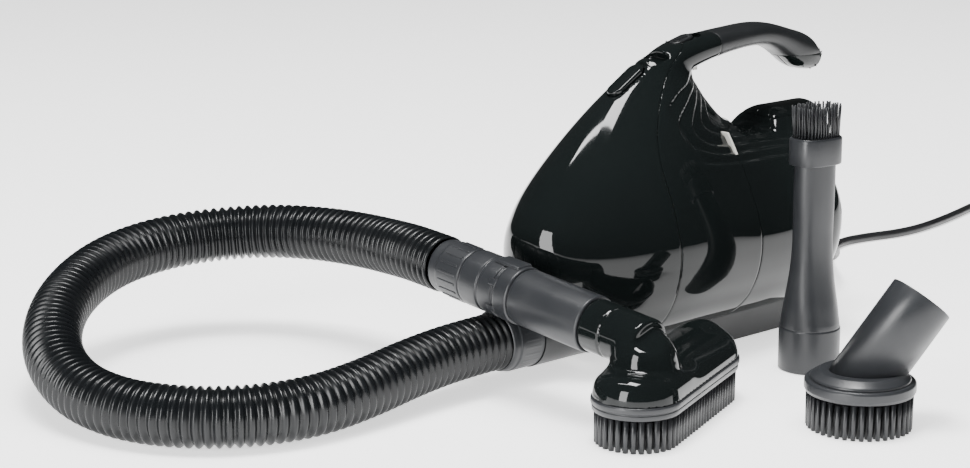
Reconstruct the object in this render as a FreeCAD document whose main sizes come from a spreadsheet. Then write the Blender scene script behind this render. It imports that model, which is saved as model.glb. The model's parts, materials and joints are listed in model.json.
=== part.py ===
"""Car dryer blower: a hand-held blower with its corrugated hose, three brush tools and mains lead.

Millimetres, +Z up. The origin is on the floor under the middle of the blower's base.
-X is the nose, where the hose plugs in, and +X is the domed motor end, where the lead comes out.
"""
import FreeCAD
import Part
import math
import os
import re
from FreeCAD import Placement, Rotation, Vector

doc = FreeCAD.newDocument("car_dryer_blower")

# ---------------------------------------------------------------- driving dimensions
DIMENSIONS = {
    # shells
    "axis_height": 80, "belly_height": 12, "belly_half_width": 67, "saddle_height": 148,
    "crest_height": 197, "nose_reach": 168, "rear_reach": 96, "dome_length": 32,
    "wall": 2.5, "ring_seam": 12, "nose_seam": 87, "seam_lean": 54.5, "seam_gap": 0.3,
    # hand opening, handle and its controls
    "opening_x": 17.5, "opening_z": 173, "opening_radius": 24, "handle_lift": 0,
    "grip_wall": 1.6, "grip_gap": 0.1, "grip_seam": 3,
    "button_length": 32, "button_width": 12, "button_depth": 8, "button_gap": 0.4,
    "slider_length": 19, "slider_width": 11, "slider_height": 5.2, "slider_travel": 7,
    # outlet
    "outlet_height": 127, "outlet_radius": 25.5, "outlet_bore": 18.2, "outlet_depth": 22,
    "outlet_start": 50, "outlet_end": 106, "duct_radius": 14,
    # inlet port and hose
    "port_height": 29, "port_bore": 18.2, "port_wall": 3.6, "port_mouth": 166, "port_end": 120,
    "cuff_radius": 18, "cuff_grip": 21, "cuff_end": 192, "hose_radius": 18.5, "hose_bore": 15,
    "hose_start": 176,
    # filter and motor
    "bag_radius": 44, "bag_front": 112, "bag_back": 28, "filter_radius": 34, "intake_radius": 22,
    "fan_radius": 50, "fan_clearance": 3, "sheet_metal": 1, "shaft_radius": 4,
    "shaft_gap": 0.05, "bearing_radius": 11, "core_radius": 39, "core_bore": 23,
    "core_start": 32, "core_length": 26,
    "air_gap": 0.6, "commutator_radius": 11, "mount_radius": 54,
    "screw_radius": 1.7, "screw_head": 3.2,
    # lead
    "cord_radius": 3.5, "coil_inner": 26, "coil_outer": 54, "coil_height": 21, "coil_lift": 1,
    "coil_x": 555, "coil_y": 66, "tie_wall": 1, "lead_height": 42, "relief_radius": 6, "relief_end": 126,
    # wand
    "wand_radius": 18, "wand_bore": 14.4, "neck_radius": 16.6, "spigot_gap": 0.2,
    # brushes
    "head_length": 151.2, "head_width": 55, "head_base": 20, "head_band": 8, "tuft_inset": 2.5,
    "dust_radius": 33.5, "dust_tuft": 22, "dust_band": 8, "socket_radius": 20,
    "socket_bore": 18.2, "socket_depth": 30,
    "crevice_height": 154, "crevice_width": 29, "crevice_depth": 19, "crevice_wall": 2,
    "collar_height": 18, "tuft_height": 21,
}

sheet = doc.addObject("Spreadsheet::Sheet", "dims")
for row, (alias, value) in enumerate(DIMENSIONS.items(), start=1):
    sheet.set(f"A{row}", alias)
    sheet.set(f"B{row}", str(value))
    sheet.setAlias(f"B{row}", alias)
doc.recompute()


def size(alias):
    """The sheet's number for a driving dimension."""
    return float(sheet.get(alias))


def bound(text):
    """An expression written with bare dimension names, as the document's objects need it."""
    return re.sub(r"\b(?!pi\b|sqrt\b|cos\b|sin\b)([a-z]+_[a-z_]+|wall)\b", r"dims.\1", str(text))


nodes = {}


def keep(obj, label, placement=None):
    """Names an object as a sub-part of the blower."""
    obj.Label = label
    if placement is not None:
        obj.Placement = placement
    nodes[label] = obj
    return obj


def feature(label, shape):
    """A sub-part whose surface has no plain feature, made from its finished shape."""
    obj = doc.addObject("Part::Feature", label)
    place = shape.Placement
    obj.Shape = shape
    return keep(obj, label, place)


# ---------------------------------------------------------------- plain solids bound to the sheet
AXIS_TURN = {
    "X": Rotation(Vector(0, 1, 0), 90),
    "Y": Rotation(Vector(1, 0, 0), -90),
    "Z": Rotation(),
}


def put(obj, x, y, z, turn=Rotation()):
    """Places an object by three expressions and a rotation."""
    obj.Placement = Placement(Vector(0, 0, 0), turn)
    obj.setExpression("Placement.Base.x", bound(x))
    obj.setExpression("Placement.Base.y", bound(y))
    obj.setExpression("Placement.Base.z", bound(z))
    return obj


def cylinder(radius, length, x=0, y=0, z=0, axis="X", name="cylinder"):
    """A cylinder that starts at x, y, z and runs along the axis."""
    obj = doc.addObject("Part::Cylinder", name)
    obj.setExpression("Radius", bound(radius))
    obj.setExpression("Height", bound(length))
    return put(obj, x, y, z, AXIS_TURN[axis])


def cone(radius_start, radius_end, length, x=0, y=0, z=0, axis="X", name="cone"):
    obj = doc.addObject("Part::Cone", name)
    obj.setExpression("Radius1", bound(radius_start))
    obj.setExpression("Radius2", bound(radius_end))
    obj.setExpression("Height", bound(length))
    return put(obj, x, y, z, AXIS_TURN[axis])


def block(length, width, height, x=0, y=0, z=0, name="block"):
    obj = doc.addObject("Part::Box", name)
    obj.setExpression("Length", bound(length))
    obj.setExpression("Width", bound(width))
    obj.setExpression("Height", bound(height))
    return put(obj, x, y, z)


def cut(base, tool, name="cut"):
    obj = doc.addObject("Part::Cut", name)
    obj.Base, obj.Tool = base, tool
    return obj


def fuse(parts, name="fuse"):
    obj = doc.addObject("Part::MultiFuse", name)
    obj.Shapes = parts
    return obj


def ring(outer, inner, length, x=0, y=0, z=0, axis="X", name="ring"):
    """A plain tube: one cylinder bored by another."""
    return cut(cylinder(outer, length, x, y, z, axis), cylinder(inner, length, x, y, z, axis), name)


def group(label, parts):
    """Several separate solids that share one node."""
    obj = doc.addObject("Part::Compound", label)
    obj.Links = parts
    return keep(obj, label)


def origin_plane(body, role):
    return next(f for f in body.Origin.OriginFeatures if f.Role == role)


def turned(label, outline, place):
    """A lathe-turned piece: a closed outline of (along, radius) expressions, revolved about X."""
    body = doc.addObject("PartDesign::Body", label)
    sketch = body.newObject("Sketcher::SketchObject", label + "_outline")
    sketch.AttachmentSupport = [(origin_plane(body, "XZ_Plane"), "")]
    sketch.MapMode = "FlatFace"
    guess = [Vector(value_of(a), value_of(r), 0) for a, r in outline]
    count = len(guess)
    import Sketcher
    for i in range(count):
        sketch.addGeometry(Part.LineSegment(guess[i], guess[(i + 1) % count]), False)
    for i in range(count):
        sketch.addConstraint(Sketcher.Constraint("Coincident", i, 2, (i + 1) % count, 1))
    for i, (along, radius) in enumerate(outline):
        for kind, text, on_axis, number in (
            ("DistanceX", along, -2, guess[i].x), ("DistanceY", radius, -1, guess[i].y)
        ):
            if abs(number) < 1e-9:
                sketch.addConstraint(Sketcher.Constraint("PointOnObject", i, 1, on_axis))
                continue
            at = sketch.addConstraint(Sketcher.Constraint(kind, -1, 1, i, 1, number))
            sketch.setExpression(f"Constraints[{at}]", bound(text))
    turn = body.newObject("PartDesign::Revolution", label + "_turn")
    turn.Profile = sketch
    turn.ReferenceAxis = (sketch, ["H_Axis"])
    turn.Angle = 360
    doc.recompute()
    put(body, *place)
    return keep(body, label)


def value_of(text):
    """The number an expression has now, worked out in a spare cell of the sheet."""
    sheet.set("D1", f"={text}")
    sheet.recompute()
    return float(sheet.get("D1"))


# ---------------------------------------------------------------- main shell surfaces
def smooth_section(x, bottom, top, half_width, widest, swell, ridge, count=6):
    """A closed cross-section at x: a round belly under a flank that leans in to a narrow crest.

    swell is how far the flank keeps upright, ridge how broad the crest is (0.55 is elliptical).
    """
    def quarter(rise, upright, level):
        points = []
        for k in range(count):
            u = k / (count - 1)
            a, b, c, d = (1 - u) ** 3, 3 * u * (1 - u) ** 2, 3 * u * u * (1 - u), u ** 3
            points.append((half_width * (a + b + c * level), rise * (b * upright + c + d)))
        return points

    upper = quarter(top - widest, swell, ridge)
    lower = quarter(widest - bottom, 0.55, 0.62)
    loop = [(y, widest - z) for y, z in reversed(lower)]
    loop += [(y, widest + z) for y, z in upper[1:]]
    loop += [(-y, widest + z) for y, z in reversed(upper[:-1])]
    loop += [(-y, widest - z) for y, z in lower[1:-1]]
    curve = Part.BSplineCurve()
    curve.interpolate([Vector(x, y, z) for y, z in loop], PeriodicFlag=True)
    return Part.Wire([curve.toShape()])


# along, bottom, top, half width, height of the widest line, flank swell, crest breadth;
# the first and last columns scale with the overall sizes
NOSE_STATIONS = [
    (-1.0, 82, 92, 5, 87, 0.55, 0.55), (-0.988, 69, 98, 13, 85, 0.55, 0.55),
    (-0.964, 54, 105, 21.7, 81, 0.55, 0.55), (-0.923, 34, 113.5, 31.4, 77, 0.53, 0.52),
    (-0.851, 18.5, 127, 42.2, 75, 0.5, 0.48), (-0.744, 12.5, 145, 52.7, 75, 0.46, 0.42),
    (-0.595, 12, 168, 61.3, 75, 0.42, 0.34), (-0.417, 12, 189, 66, 75, 0.36, 0.28),
    (-0.24, 12, 197, 67, 76, 0.3, 0.24), (-0.149, 12, 192, 67, 76, 0.27, 0.22),
    (-0.071, 12, 184, 67, 76, 0.26, 0.21),
]
REAR_STATIONS = [
    (0.0, 12, 176, 67, 76.5, 0.26, 0.2), (0.125, 12, 166, 67, 77, 0.28, 0.22),
    (0.26, 12, 155, 67, 78, 0.33, 0.27), (0.4, 12, 149, 67, 79, 0.4, 0.33),
    (0.53, 12, 148, 67, 80, 0.44, 0.38), (0.6667, 12, 148, 67, 80, 0.46, 0.4),
]
DOME_TURNS = (18, 34, 49, 62, 73, 81)


def fitted(value, low, high, new_low, new_high):
    """Moves a height from the drawn range to the one the sheet gives."""
    return new_low + (value - low) * (new_high - new_low) / (high - low)


def body_sections(inset):
    """The shell's cross-sections, drawn in by inset on every side."""
    belly, saddle, crest = size("belly_height"), size("saddle_height"), size("crest_height")
    nose, rear, dome = size("nose_reach"), size("rear_reach"), size("dome_length")
    wide = size("belly_half_width") / 67
    axis = size("axis_height")
    rows = [(a * nose, *rest) for a, *rest in NOSE_STATIONS]
    rows += [(a * (rear - dome) / 0.6667, *rest) for a, *rest in REAR_STATIONS]
    last = REAR_STATIONS[-1]
    for turn in DOME_TURNS:
        shrink = math.cos(math.radians(turn))
        along = rear - dome + dome * math.sin(math.radians(turn))
        bottom, top = (80 + (v - 80) * shrink for v in last[1:3])
        rows.append((along, bottom, top, last[3] * shrink, last[4], *last[5:]))
    sections = []
    for x, bottom, top, half_width, widest, swell, ridge in rows:
        bottom = fitted(bottom, 12, 80, belly, axis)
        if top > 148:
            top = fitted(top, 148, 197, saddle, crest)
        else:
            top = fitted(top, 80, 148, axis, saddle)
        widest = fitted(widest, 12, 80, belly, axis)
        half_width *= wide
        if half_width < 4 + 2 * inset or top - bottom < 8 + 3 * inset:
            continue
        reach = nose if x < 0 else rear
        x *= 1 - inset / reach
        sections.append(
            smooth_section(x, bottom + inset, top - inset, half_width - inset, widest, swell, ridge)
        )
    return sections


def prism(outline, half_width):
    """A block across the whole width whose side view is the outline of (x, z) points."""
    wire = Part.makePolygon([Vector(x, -half_width, z) for x, z in outline + outline[:1]])
    return Part.Face(wire).extrude(Vector(0, 2 * half_width, 0))


def rounded(loop_points):
    """A smooth closed wire through the points."""
    curve = Part.BSplineCurve()
    curve.interpolate(loop_points, PeriodicFlag=True)
    return Part.Wire([curve.toShape()])


# x, height, tilt of the path, half width, half thickness of the handle bar
HANDLE_STATIONS = [
    (-52, 184, 36, 13, 11), (-34, 192.5, 20, 13.6, 11.3), (-4, 199.5, 8, 13.5, 9.5),
    (28, 203, 2, 13.5, 8), (58, 202.5, -6, 14, 8.2), (80, 195, -22, 15, 10.2),
    (97, 186.5, -34, 15.6, 12), (107, 181, -42, 13.6, 8.5),
]


def handle(inset):
    """The hooked bar, drawn in by inset all round and at its free end."""
    wires = []
    lift = size("handle_lift")
    for k, (x, z, tilt, half_width, half_thick) in enumerate(HANDLE_STATIONS):
        turn = math.radians(tilt)
        ahead = Vector(math.cos(turn), 0, math.sin(turn))
        up = Vector(-math.sin(turn), 0, math.cos(turn))
        middle = Vector(x, 0, z + lift)
        if k == len(HANDLE_STATIONS) - 1:
            middle -= ahead * inset
        loop = []
        for n in range(14):
            a = 2 * math.pi * n / 14
            y = (half_width - inset) * math.copysign(abs(math.cos(a)) ** 0.85, math.cos(a))
            t = (half_thick - inset) * math.copysign(abs(math.sin(a)) ** 0.85, math.sin(a))
            loop.append(middle + up * t + Vector(0, y, 0))
        wires.append(rounded(loop))
    return Part.makeLoft(wires, True, False)


wall, gap = size("wall"), size("seam_gap")
outer_body = Part.makeLoft(body_sections(0), True, False)
inner_body = Part.makeLoft(body_sections(wall), True, False)
opening_middle = Vector(size("opening_x"), -90, size("opening_z"))
opening = Part.makeCylinder(size("opening_radius"), 180, opening_middle, Vector(0, 1, 0))
opening_lining = Part.makeCylinder(
    size("opening_radius") + wall, 180, opening_middle, Vector(0, 1, 0)
)
outlet_z, outlet_end = size("outlet_height"), size("outlet_end")


def along_x(radius, start, end, z):
    return Part.makeCylinder(radius, end - start, Vector(start, 0, z), Vector(1, 0, 0))


hump = along_x(size("outlet_radius"), size("outlet_start"), outlet_end, outlet_z)
hump_edges = [e for e in hump.Edges if abs(e.BoundBox.XMax - outlet_end) < 0.1
              and e.BoundBox.XLength < 0.1]
hump = hump.makeFillet(2, hump_edges)
bore_start = outlet_end - size("outlet_depth")
sleeve = along_x(size("outlet_bore") + wall, bore_start - 4, outlet_end, outlet_z)
duct = along_x(size("duct_radius"), size("outlet_start") - 12, bore_start + 0.1, outlet_z)
bore = along_x(size("outlet_bore"), bore_start, outlet_end + 1, outlet_z)
hollow = inner_body.cut(opening_lining).cut(sleeve).fuse(duct).fuse(bore)
shell = outer_body.fuse(hump).cut(hollow).cut(opening)

core = handle(size("grip_wall") + size("grip_gap"))
grip_inside = handle(size("grip_wall"))
bar = handle(0)
grip_seam = size("grip_seam")
beyond_seam = Part.makeBox(300, 200, 300, Vector(grip_seam, -100, 0))
before_seam = Part.makeBox(300, 200, 300, Vector(grip_seam - 300, -100, 0))
arm = bar.common(before_seam).fuse(core)
seam = size("nose_seam")


def nose_outline(shift):
    """The side view of the front cover: a straight seam that leans back over the crest."""
    points = [(-400, -50), (-seam - shift, -50), (-seam - shift, 125)]
    for k in range(1, 9):
        points.append((-seam - shift + size("seam_lean") * (k / 8) ** 2, 125 + 77 * k / 8))
    points.append((points[-1][0] + 4, 260))
    points.append((-400, 260))
    return points


front_part = prism(nose_outline(gap), 120)
behind_nose = prism(nose_outline(0), 120)
ring_x = -size("ring_seam")
neck_foot = size("saddle_height") - 2
rear_part = prism([(ring_x, -50), (300, -50), (300, neck_foot), (ring_x, neck_foot)], 120)
hump_part = prism(
    [(33, neck_foot - 1), (300, neck_foot - 1), (300, 170), (33, 170)], 120
)
rear_part = rear_part.fuse(hump_part)

port_z = size("port_height")
port_outer = size("port_bore") + size("port_wall")
port_hole = along_x(port_outer, -size("port_mouth") - 8, -size("bag_front") + 0.3, port_z)
exhaust = []
for k in range(-3, 4):
    exhaust.append(Part.makeBox(40, 3.2, 44, Vector(66, k * 8 - 1.6, 52)))
side_vents = []
for side in (-1, 1):
    for k in range(3):
        slot = Part.makeBox(26, 40, 2.4, Vector(34 + 3 * k, 0 if side > 0 else -40, 127 - 7 * k))
        slot.rotate(Vector(47, 0, 127), Vector(0, 1, 0), 16)
        side_vents.append(slot.cut(Part.makeBox(60, 2 * 24, 60, Vector(20, -24, 100))))
cord_hole = along_x(size("relief_radius") + 0.2, 70, 130, size("lead_height"))

# ---------------------------------------------------------------- shells and skid
front = shell.common(front_part).cut(port_hole)
button_turn = math.radians(31)
button_middle = Vector(-76, 0, 184.5)


def stadium(length, width, height, middle, turn=Rotation(), drop=0.0):
    """An oblong prism of the given height that rises along its own Z from drop."""
    half, radius = length / 2 - width / 2, width / 2
    straight = Part.makeBox(2 * half, width, height, Vector(-half, -radius, drop))
    ends = [Part.makeCylinder(radius, height, Vector(side * half, 0, drop)) for side in (-1, 1)]
    solid = straight.fuse(ends).removeSplitter()
    solid.Placement = Placement(middle, turn)
    return solid


slope = Rotation(Vector(0, 1, 0), -math.degrees(button_turn))
long, broad, deep = size("button_length"), size("button_width"), size("button_depth")
slack = size("button_gap")
front = front.cut(
    stadium(long + 2 * slack, broad + 2 * slack, 30, button_middle, slope, -10)
)
button = stadium(long, broad, deep, button_middle, slope, 1.6 - deep)
front_cover = feature("front_shell", front)
feature("release_button", button)
into = slope.multVec(Vector(0, 0, -1))
spring_top = button_middle + into * (deep - 1.6 + 0.05)
bracket_middle = button_middle + into * (deep - 1.6 + 6.05)
spring = doc.addObject("Part::Cylinder", "latch_spring")
spring.Radius, spring.Height = 3, 6
keep(spring, "latch_spring", Placement(spring_top + into * 6, slope))
bracket = Part.makeBox(46, 66, 2, Vector(-23, -33, -2))
bracket.Placement = Placement(bracket_middle, slope)
feature("latch_bracket", bracket.common(inner_body).common(front_part))

everywhere = Part.makeBox(700, 240, 500, Vector(-300, -120, -50))
mid_part = everywhere.cut(behind_nose.fuse(rear_part))
slider_slope = Rotation(Vector(0, 1, 0), -14)
slider_seat = Vector(-22.5, 0, 202.6 + size("handle_lift"))
slider_long, slider_wide = size("slider_length"), size("slider_width")
slider_travel, slack = size("slider_travel"), size("button_gap")
slider_well = stadium(
    slider_long + slider_travel + 2 * slack, slider_wide + 2 * slack, 20,
    slider_seat + slider_slope.multVec(Vector(slider_travel / 2, 0, 0)), slider_slope, -0.3
)
screw_r, head_r = size("screw_radius"), size("screw_head")
# x, z and the y of the wall behind each screw's head
HOUSING_SCREWS = [(-70, 21.5, 35), (-25, 26, 40), (-30, 168, 24), (-74, 128, 48)]
left_space = Part.makeBox(600, 200, 500, Vector(-300, -200, -50))
right_space = Part.makeBox(600, 200, 500, Vector(-300, 0, -50))
across = Vector(0, 1, 0)
bosses, wells, screws = [], [], []
for x, z, y in HOUSING_SCREWS:
    wells.append(Part.makeCylinder(head_r + 0.1, 60, Vector(x, y - 12, z), across))
    bosses.append(Part.makeCylinder(5, 2 * y, Vector(x, -y, z), across))
    shank = Part.makeCylinder(screw_r, y, Vector(x, -12, z), across)
    screws.append(shank.fuse(Part.makeCylinder(head_r, 2.4, Vector(x, y - 12, z), across)))
bosses = Part.makeCompound(bosses).common(inner_body)
housing = shell.common(mid_part).fuse([arm.common(mid_part), bosses])
switch = Part.makeBox(18, 12, 12, Vector(-31, -6, 185.5 + size("handle_lift")))
housing = housing.cut(wells + screws + [slider_well, opening, switch])


def biggest(shape):
    """The one main solid of a shape, without loose crumbs."""
    return max(shape.Solids, key=lambda s: s.Volume)


feature("housing_left", biggest(housing.common(left_space)))
feature("housing_right", biggest(housing.common(right_space)))
feature("housing_screws", Part.makeCompound(screws))

grip = bar.common(beyond_seam).cut(grip_inside)
feature("handle_grip", biggest(grip))

fixings, rear_wells, rear_bosses = [], [], []
for side in (-1, 1):
    for z in (42, 116):
        at = Vector(72, side * 34, z)
        rear_wells.append(Part.makeCylinder(head_r + 0.1, 40, at, Vector(1, 0, 0)))
        rear_bosses.append(Part.makeCylinder(5, 36, at - Vector(10, 0, 0), Vector(1, 0, 0)))
        shank = Part.makeCylinder(screw_r, 14, at - Vector(14, 0, 0), Vector(1, 0, 0))
        fixings.append(shank.fuse(Part.makeCylinder(head_r, 2.4, at, Vector(1, 0, 0))))
rear_bosses = Part.makeCompound(rear_bosses).common(inner_body)
rear = shell.common(rear_part).fuse(rear_bosses)
rear = rear.cut(exhaust + side_vents + [cord_hole] + rear_wells + fixings)
feature("rear_cap", biggest(rear))
feature("cap_screws", Part.makeCompound(fixings))

skid = Part.makeBox(140, 64, 20, Vector(-75, -32, 0))
skid = skid.makeFillet(9, [e for e in skid.Edges if e.BoundBox.ZLength > 19])
feature("base_skid", biggest(skid.cut(outer_body)))

feature("power_slider", stadium(slider_long, slider_wide, size("slider_height"), slider_seat, slider_slope))

# ---------------------------------------------------------------- inlet port, bag and filters
keep(cut(
    cut(
        cylinder("port_bore + port_wall - 0.2", "port_mouth - port_end", "-port_mouth", 0, "port_height"),
        cylinder("port_bore", "port_mouth - port_end - 3", "-port_mouth", 0, "port_height"),
    ),
    cylinder("hose_bore", 10, "-port_end - 6", 0, "port_height"),
), "port_collar")
group("port_seal", [ring(
    "port_bore", "hose_bore", 2.4, "-port_end - 5.4", 0, "port_height"
)])
group("bag_collar", [ring(
    "port_bore + port_wall", "hose_bore", "port_end - bag_front", "-port_end", 0, "port_height"
)])
bag_r, bag_back = "bag_radius", "-bag_back"
keep(fuse([
    cone("bag_radius * 0.8", bag_r, 16, "-bag_front", 0, 72),
    cylinder(bag_r, "bag_front - bag_back - 40", "-bag_front + 16", 0, 72),
    cone(bag_r, "bag_radius * 0.7", 24, "-bag_back - 24", 0, 72),
    cylinder("hose_bore - 2", 24, "-bag_front", 0, "port_height"),
]), "filter_bag")

fan_front = "-ring_seam + 3.5"
bulkhead = Part.makeBox(2.5, 200, 300, Vector(ring_x + 0.3, -100, 0)).common(inner_body)
bulkhead = bulkhead.cut(opening_lining)
bulkhead = bulkhead.cut([along_x(size("intake_radius"), ring_x - 1, ring_x + 5, size("axis_height"))] + fixings)
bulkhead = bulkhead.common(Part.makeBox(60, 400, neck_foot - 0.3, Vector(-30, -200, 0)))
feature("bulkhead", biggest(bulkhead))
group("filter_frame", [ring(
    "filter_radius", "filter_radius - 4", 9, "-ring_seam - 8.8", 0, "axis_height"
)])
group("motor_filter", [cylinder(
    "filter_radius - 4.2", 5, "-ring_seam - 6", 0, "axis_height"
)])
group("exhaust_filter", [cylinder("bearing_radius * 2", 3, 84, 0, 76)])

# ---------------------------------------------------------------- motor, all on one axis along X
AXIS = "axis_height"
fan_outer = "fan_radius + fan_clearance + sheet_metal"
fan_back = "-ring_seam + 32"
keep(cut(
    cut(
        cylinder(fan_outer, f"{fan_back} - ({fan_front})", fan_front, 0, AXIS),
        cylinder(
            "fan_radius + fan_clearance", f"{fan_back} - ({fan_front}) - 2 * sheet_metal",
            f"{fan_front} + sheet_metal", 0, AXIS,
        ),
    ),
    fuse([
        cylinder("intake_radius - 3", 4, f"{fan_front} - 1", 0, AXIS),
        cylinder("bearing_radius * 2.6", 4, f"{fan_back} - 2", 0, AXIS),
    ]),
), "fan_housing")

wheel = [
    ring("fan_radius", "intake_radius - 1", 1.2, f"{fan_front} + 5", 0, AXIS),
    cylinder("fan_radius", 1.2, f"{fan_front} + 16.6", 0, AXIS),
    cylinder("shaft_radius + 5", 16, f"{fan_front} + 5", 0, AXIS),
]
for k in range(9):
    blade = doc.addObject("Part::Box", "blade")
    blade.Length = 12
    blade.setExpression("Width", bound("fan_radius - shaft_radius - 6"))
    blade.Height = 1.2
    lean = Rotation(Vector(1, 0, 0), 40 * k)
    foot = lean.multVec(Vector(0, size("shaft_radius") + 5, -7))
    blade.Placement = Placement(
        Vector(-size("ring_seam") + 9.1, foot.y, size("axis_height") + foot.z),
        lean * Rotation(Vector(1, 0, 0), 8),
    )
    wheel.append(blade)
keep(cut(fuse(wheel), cylinder("shaft_radius", 90, "-ring_seam - 4", 0, AXIS)), "impeller")
group("fan_nut", [ring("shaft_radius + 3", "shaft_radius", 4.6, f"{fan_front} + 0.3", 0, AXIS)])

shaft_end = "core_start + core_length + 20"
group("motor_shaft", [cylinder("shaft_radius", f"{shaft_end} - ({fan_front})", fan_front, 0, AXIS)])
core_end = "core_start + core_length"
group("field_core", [ring("core_radius", "core_bore", "core_length", "core_start", 0, AXIS)])
group("field_coils", [
    ring("core_radius - 4", "core_bore + 1.5", 4.6, "core_start - 4.8", 0, AXIS),
    ring("core_radius - 4", "core_bore + 1.5", 4.6, f"{core_end} + 0.2", 0, AXIS),
])
group("armature_core", [
    ring("core_bore - air_gap", "shaft_radius", "core_length - 2", "core_start + 1", 0, AXIS)
])
group("armature_windings", [
    ring("core_bore - 3", "shaft_radius", 5, "core_start - 4", 0, AXIS),
    ring("core_bore - 3", "shaft_radius", 4, f"{core_end} - 1", 0, AXIS),
])
group("commutator", [
    ring("commutator_radius", "shaft_radius", 8, f"{core_end} + 4", 0, AXIS)
])
for label, start in (("front_bearing", "core_start - 10"), ("rear_bearing", f"{core_end} + 14.5")):
    group(label, [ring("bearing_radius", "shaft_radius + shaft_gap", 4.5, start, 0, AXIS)])
for label, start in (("front_bracket", "core_start - 10"), ("rear_bracket", f"{core_end} + 15")):
    group(label, [ring("core_radius + 2", "bearing_radius", 3, start, 0, AXIS)])
for label, start in (("front_mount", "core_start + 3"), ("rear_mount", f"{core_end} - 7")):
    group(label, [ring("mount_radius", "core_radius", 4, start, 0, AXIS)])
carbons, holders = [], []
for side in (-1, 1):
    inner_y = "commutator_radius + 0.1"
    low = inner_y if side > 0 else f"-({inner_y}) - 11"
    carbons.append(block(5, 11, 5, f"{core_end} + 6", low, "axis_height - 2.5"))
    low = "commutator_radius + 2" if side > 0 else "-commutator_radius - 15"
    holders.append(cut(
        block(7, 13, 8, f"{core_end} + 5", low, "axis_height - 4"),
        block(5, 13, 5, f"{core_end} + 6", low, "axis_height - 2.5"),
    ))
group("carbon_brushes", carbons)
group("brush_holders", holders)
feature("switch_body", switch)

# ---------------------------------------------------------------- routes of hose and lead
HOSE_ROUTE = [
    (-176, 0, 29), (-218, 0, 29), (-261, -2, 26), (-303, -7, 21.5), (-344, -8, 18.8),
    (-382, 3, 18.6), (-412, 28, 18.6), (-430, 65, 18.8), (-435, 107, 23), (-425, 149, 34),
    (-398, 187, 46), (-362, 216, 55.5), (-323, 233, 62.3), (-282, 236, 66.4), (-245, 224, 69),
    (-216, 199, 71), (-200, 165, 72.2), (-193.5, 128, 73), (-193.4, 97, 73.6), (-196.6, 68, 74.8),
    (-197.6, 39, 73),
]
LEAD_ROUTE = [
    (92, 0, 42), (120, 0, 42), (148, 6, 36), (174, 20, 26), (196, 40, 15), (218, 62, 7),
    (245, 84, 3.7), (275, 97, 3.5), (304, 94, 3.5), (332, 86, 3.5), (362, 85, 3.5),
    (396, 90, 3.5), (430, 97.2, 3.5), (464, 106, 3.5), (497, 112.5, 3.6), (528, 116.4, 4.2),
    (543, 117, 4.5),
]


def soft_path(route, label, diameter):
    """Straight runs joined by tangent arcs as large as the runs allow."""
    points = [Vector(*p) for p in route]
    edges, at, radii = [], points[0], []
    for before, corner, after in zip(points, points[1:], points[2:]):
        back, ahead = (before - corner), (after - corner)
        reach = 0.45 * min(back.Length, ahead.Length)
        back.normalize()
        ahead.normalize()
        turn = math.pi - back.getAngle(ahead)
        radii.append(reach / math.tan(turn / 2))
        start, end = corner + back * reach, corner + ahead * reach
        inward = (back + ahead).normalize()
        sagitta = radii[-1] / math.cos(turn / 2) - radii[-1]
        edges.append(Part.LineSegment(at, start).toShape())
        edges.append(Part.Arc(start, corner + inward * sagitta, end).toShape())
        at = end
    edges.append(Part.LineSegment(at, points[-1]).toShape())
    wire = Part.Wire(edges)
    print(label, "length", round(wire.Length, 1), "radii", [round(r) for r in radii],
          "smallest in diameters", round(min(radii) / diameter, 2))
    return wire


def soft_tube(route, label, radius):
    path = soft_path(route, label, 2 * radius)
    start, ahead = Vector(*route[0]), Vector(*route[1]) - Vector(*route[0])
    ring_wire = Part.Wire([Part.makeCircle(radius, start, ahead)])
    tube = path.makePipeShell([ring_wire], True, False)
    expected = math.pi * radius ** 2 * path.Length
    print(label, "volume", round(tube.Volume), "section x length", round(expected),
          "lowest", round(tube.BoundBox.ZMin, 2))
    return tube


hose_r, cord_r = size("hose_radius"), size("cord_radius")
hose = soft_tube(HOSE_ROUTE, "hose", hose_r)
hose_air = soft_tube(HOSE_ROUTE, "hose airway", size("hose_bore"))
hose_end = Vector(*HOSE_ROUTE[-1])
wand_way = Vector(0.0347, -0.9937, -0.1069)
wand_way.normalize()
past_hose = Part.makeCylinder(30, 20, hose_end + wand_way * 0.25, wand_way)
feature("hose", biggest(hose.cut(hose_air).cut(past_hose)))
coil_x, coil_y = size("coil_x"), size("coil_y")
lead = soft_tube(LEAD_ROUTE, "power_cord", cord_r)
coil_solid = Part.makeCylinder(
    size("coil_outer"), size("coil_height"), Vector(coil_x, coil_y, size("coil_lift"))
)
lead = biggest(lead.cut(coil_solid))
feature("power_cord", lead)

# ---------------------------------------------------------------- lead's fittings, coil and plug
relief_r, relief_end = size("relief_radius"), size("relief_end")
relief = along_x(relief_r + 2.5, 79, 81.5, size("lead_height"))
relief = relief.fuse([
    along_x(relief_r, 81, 97, size("lead_height")),
    Part.makeCone(
        relief_r, cord_r + 1.1, relief_end - 97, Vector(97, 0, size("lead_height")), Vector(1, 0, 0)
    ),
])
relief = biggest(relief.removeSplitter().cut(lead))
feature("strain_relief", relief)
group("cord_clamp", [block(2.6, 20, 12, 76.4, -10, "lead_height - 6")])
keep(ring("coil_outer", "coil_inner", "coil_height", "coil_x", "coil_y", "coil_lift", "Z"), "cord_coil")
tie_w = "coil_outer - coil_inner + 2 * tie_wall"
keep(cut(
    block(10, tie_w, "coil_height + 2 * tie_wall", "coil_x - 5", "coil_y - coil_outer - tie_wall",
          "coil_lift - tie_wall"),
    ring("coil_outer", "coil_inner", "coil_height", "coil_x", "coil_y", "coil_lift", "Z"),
), "cord_tie")
plug_z = "coil_lift + coil_height"
keep(fuse([
    block(34, 25, 17, "coil_x + 24", "coil_y - 12.5", plug_z),
    cylinder(5, 14, "coil_x + 10.5", "coil_y", f"{plug_z} + 8.5"),
]), "plug_body")
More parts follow.
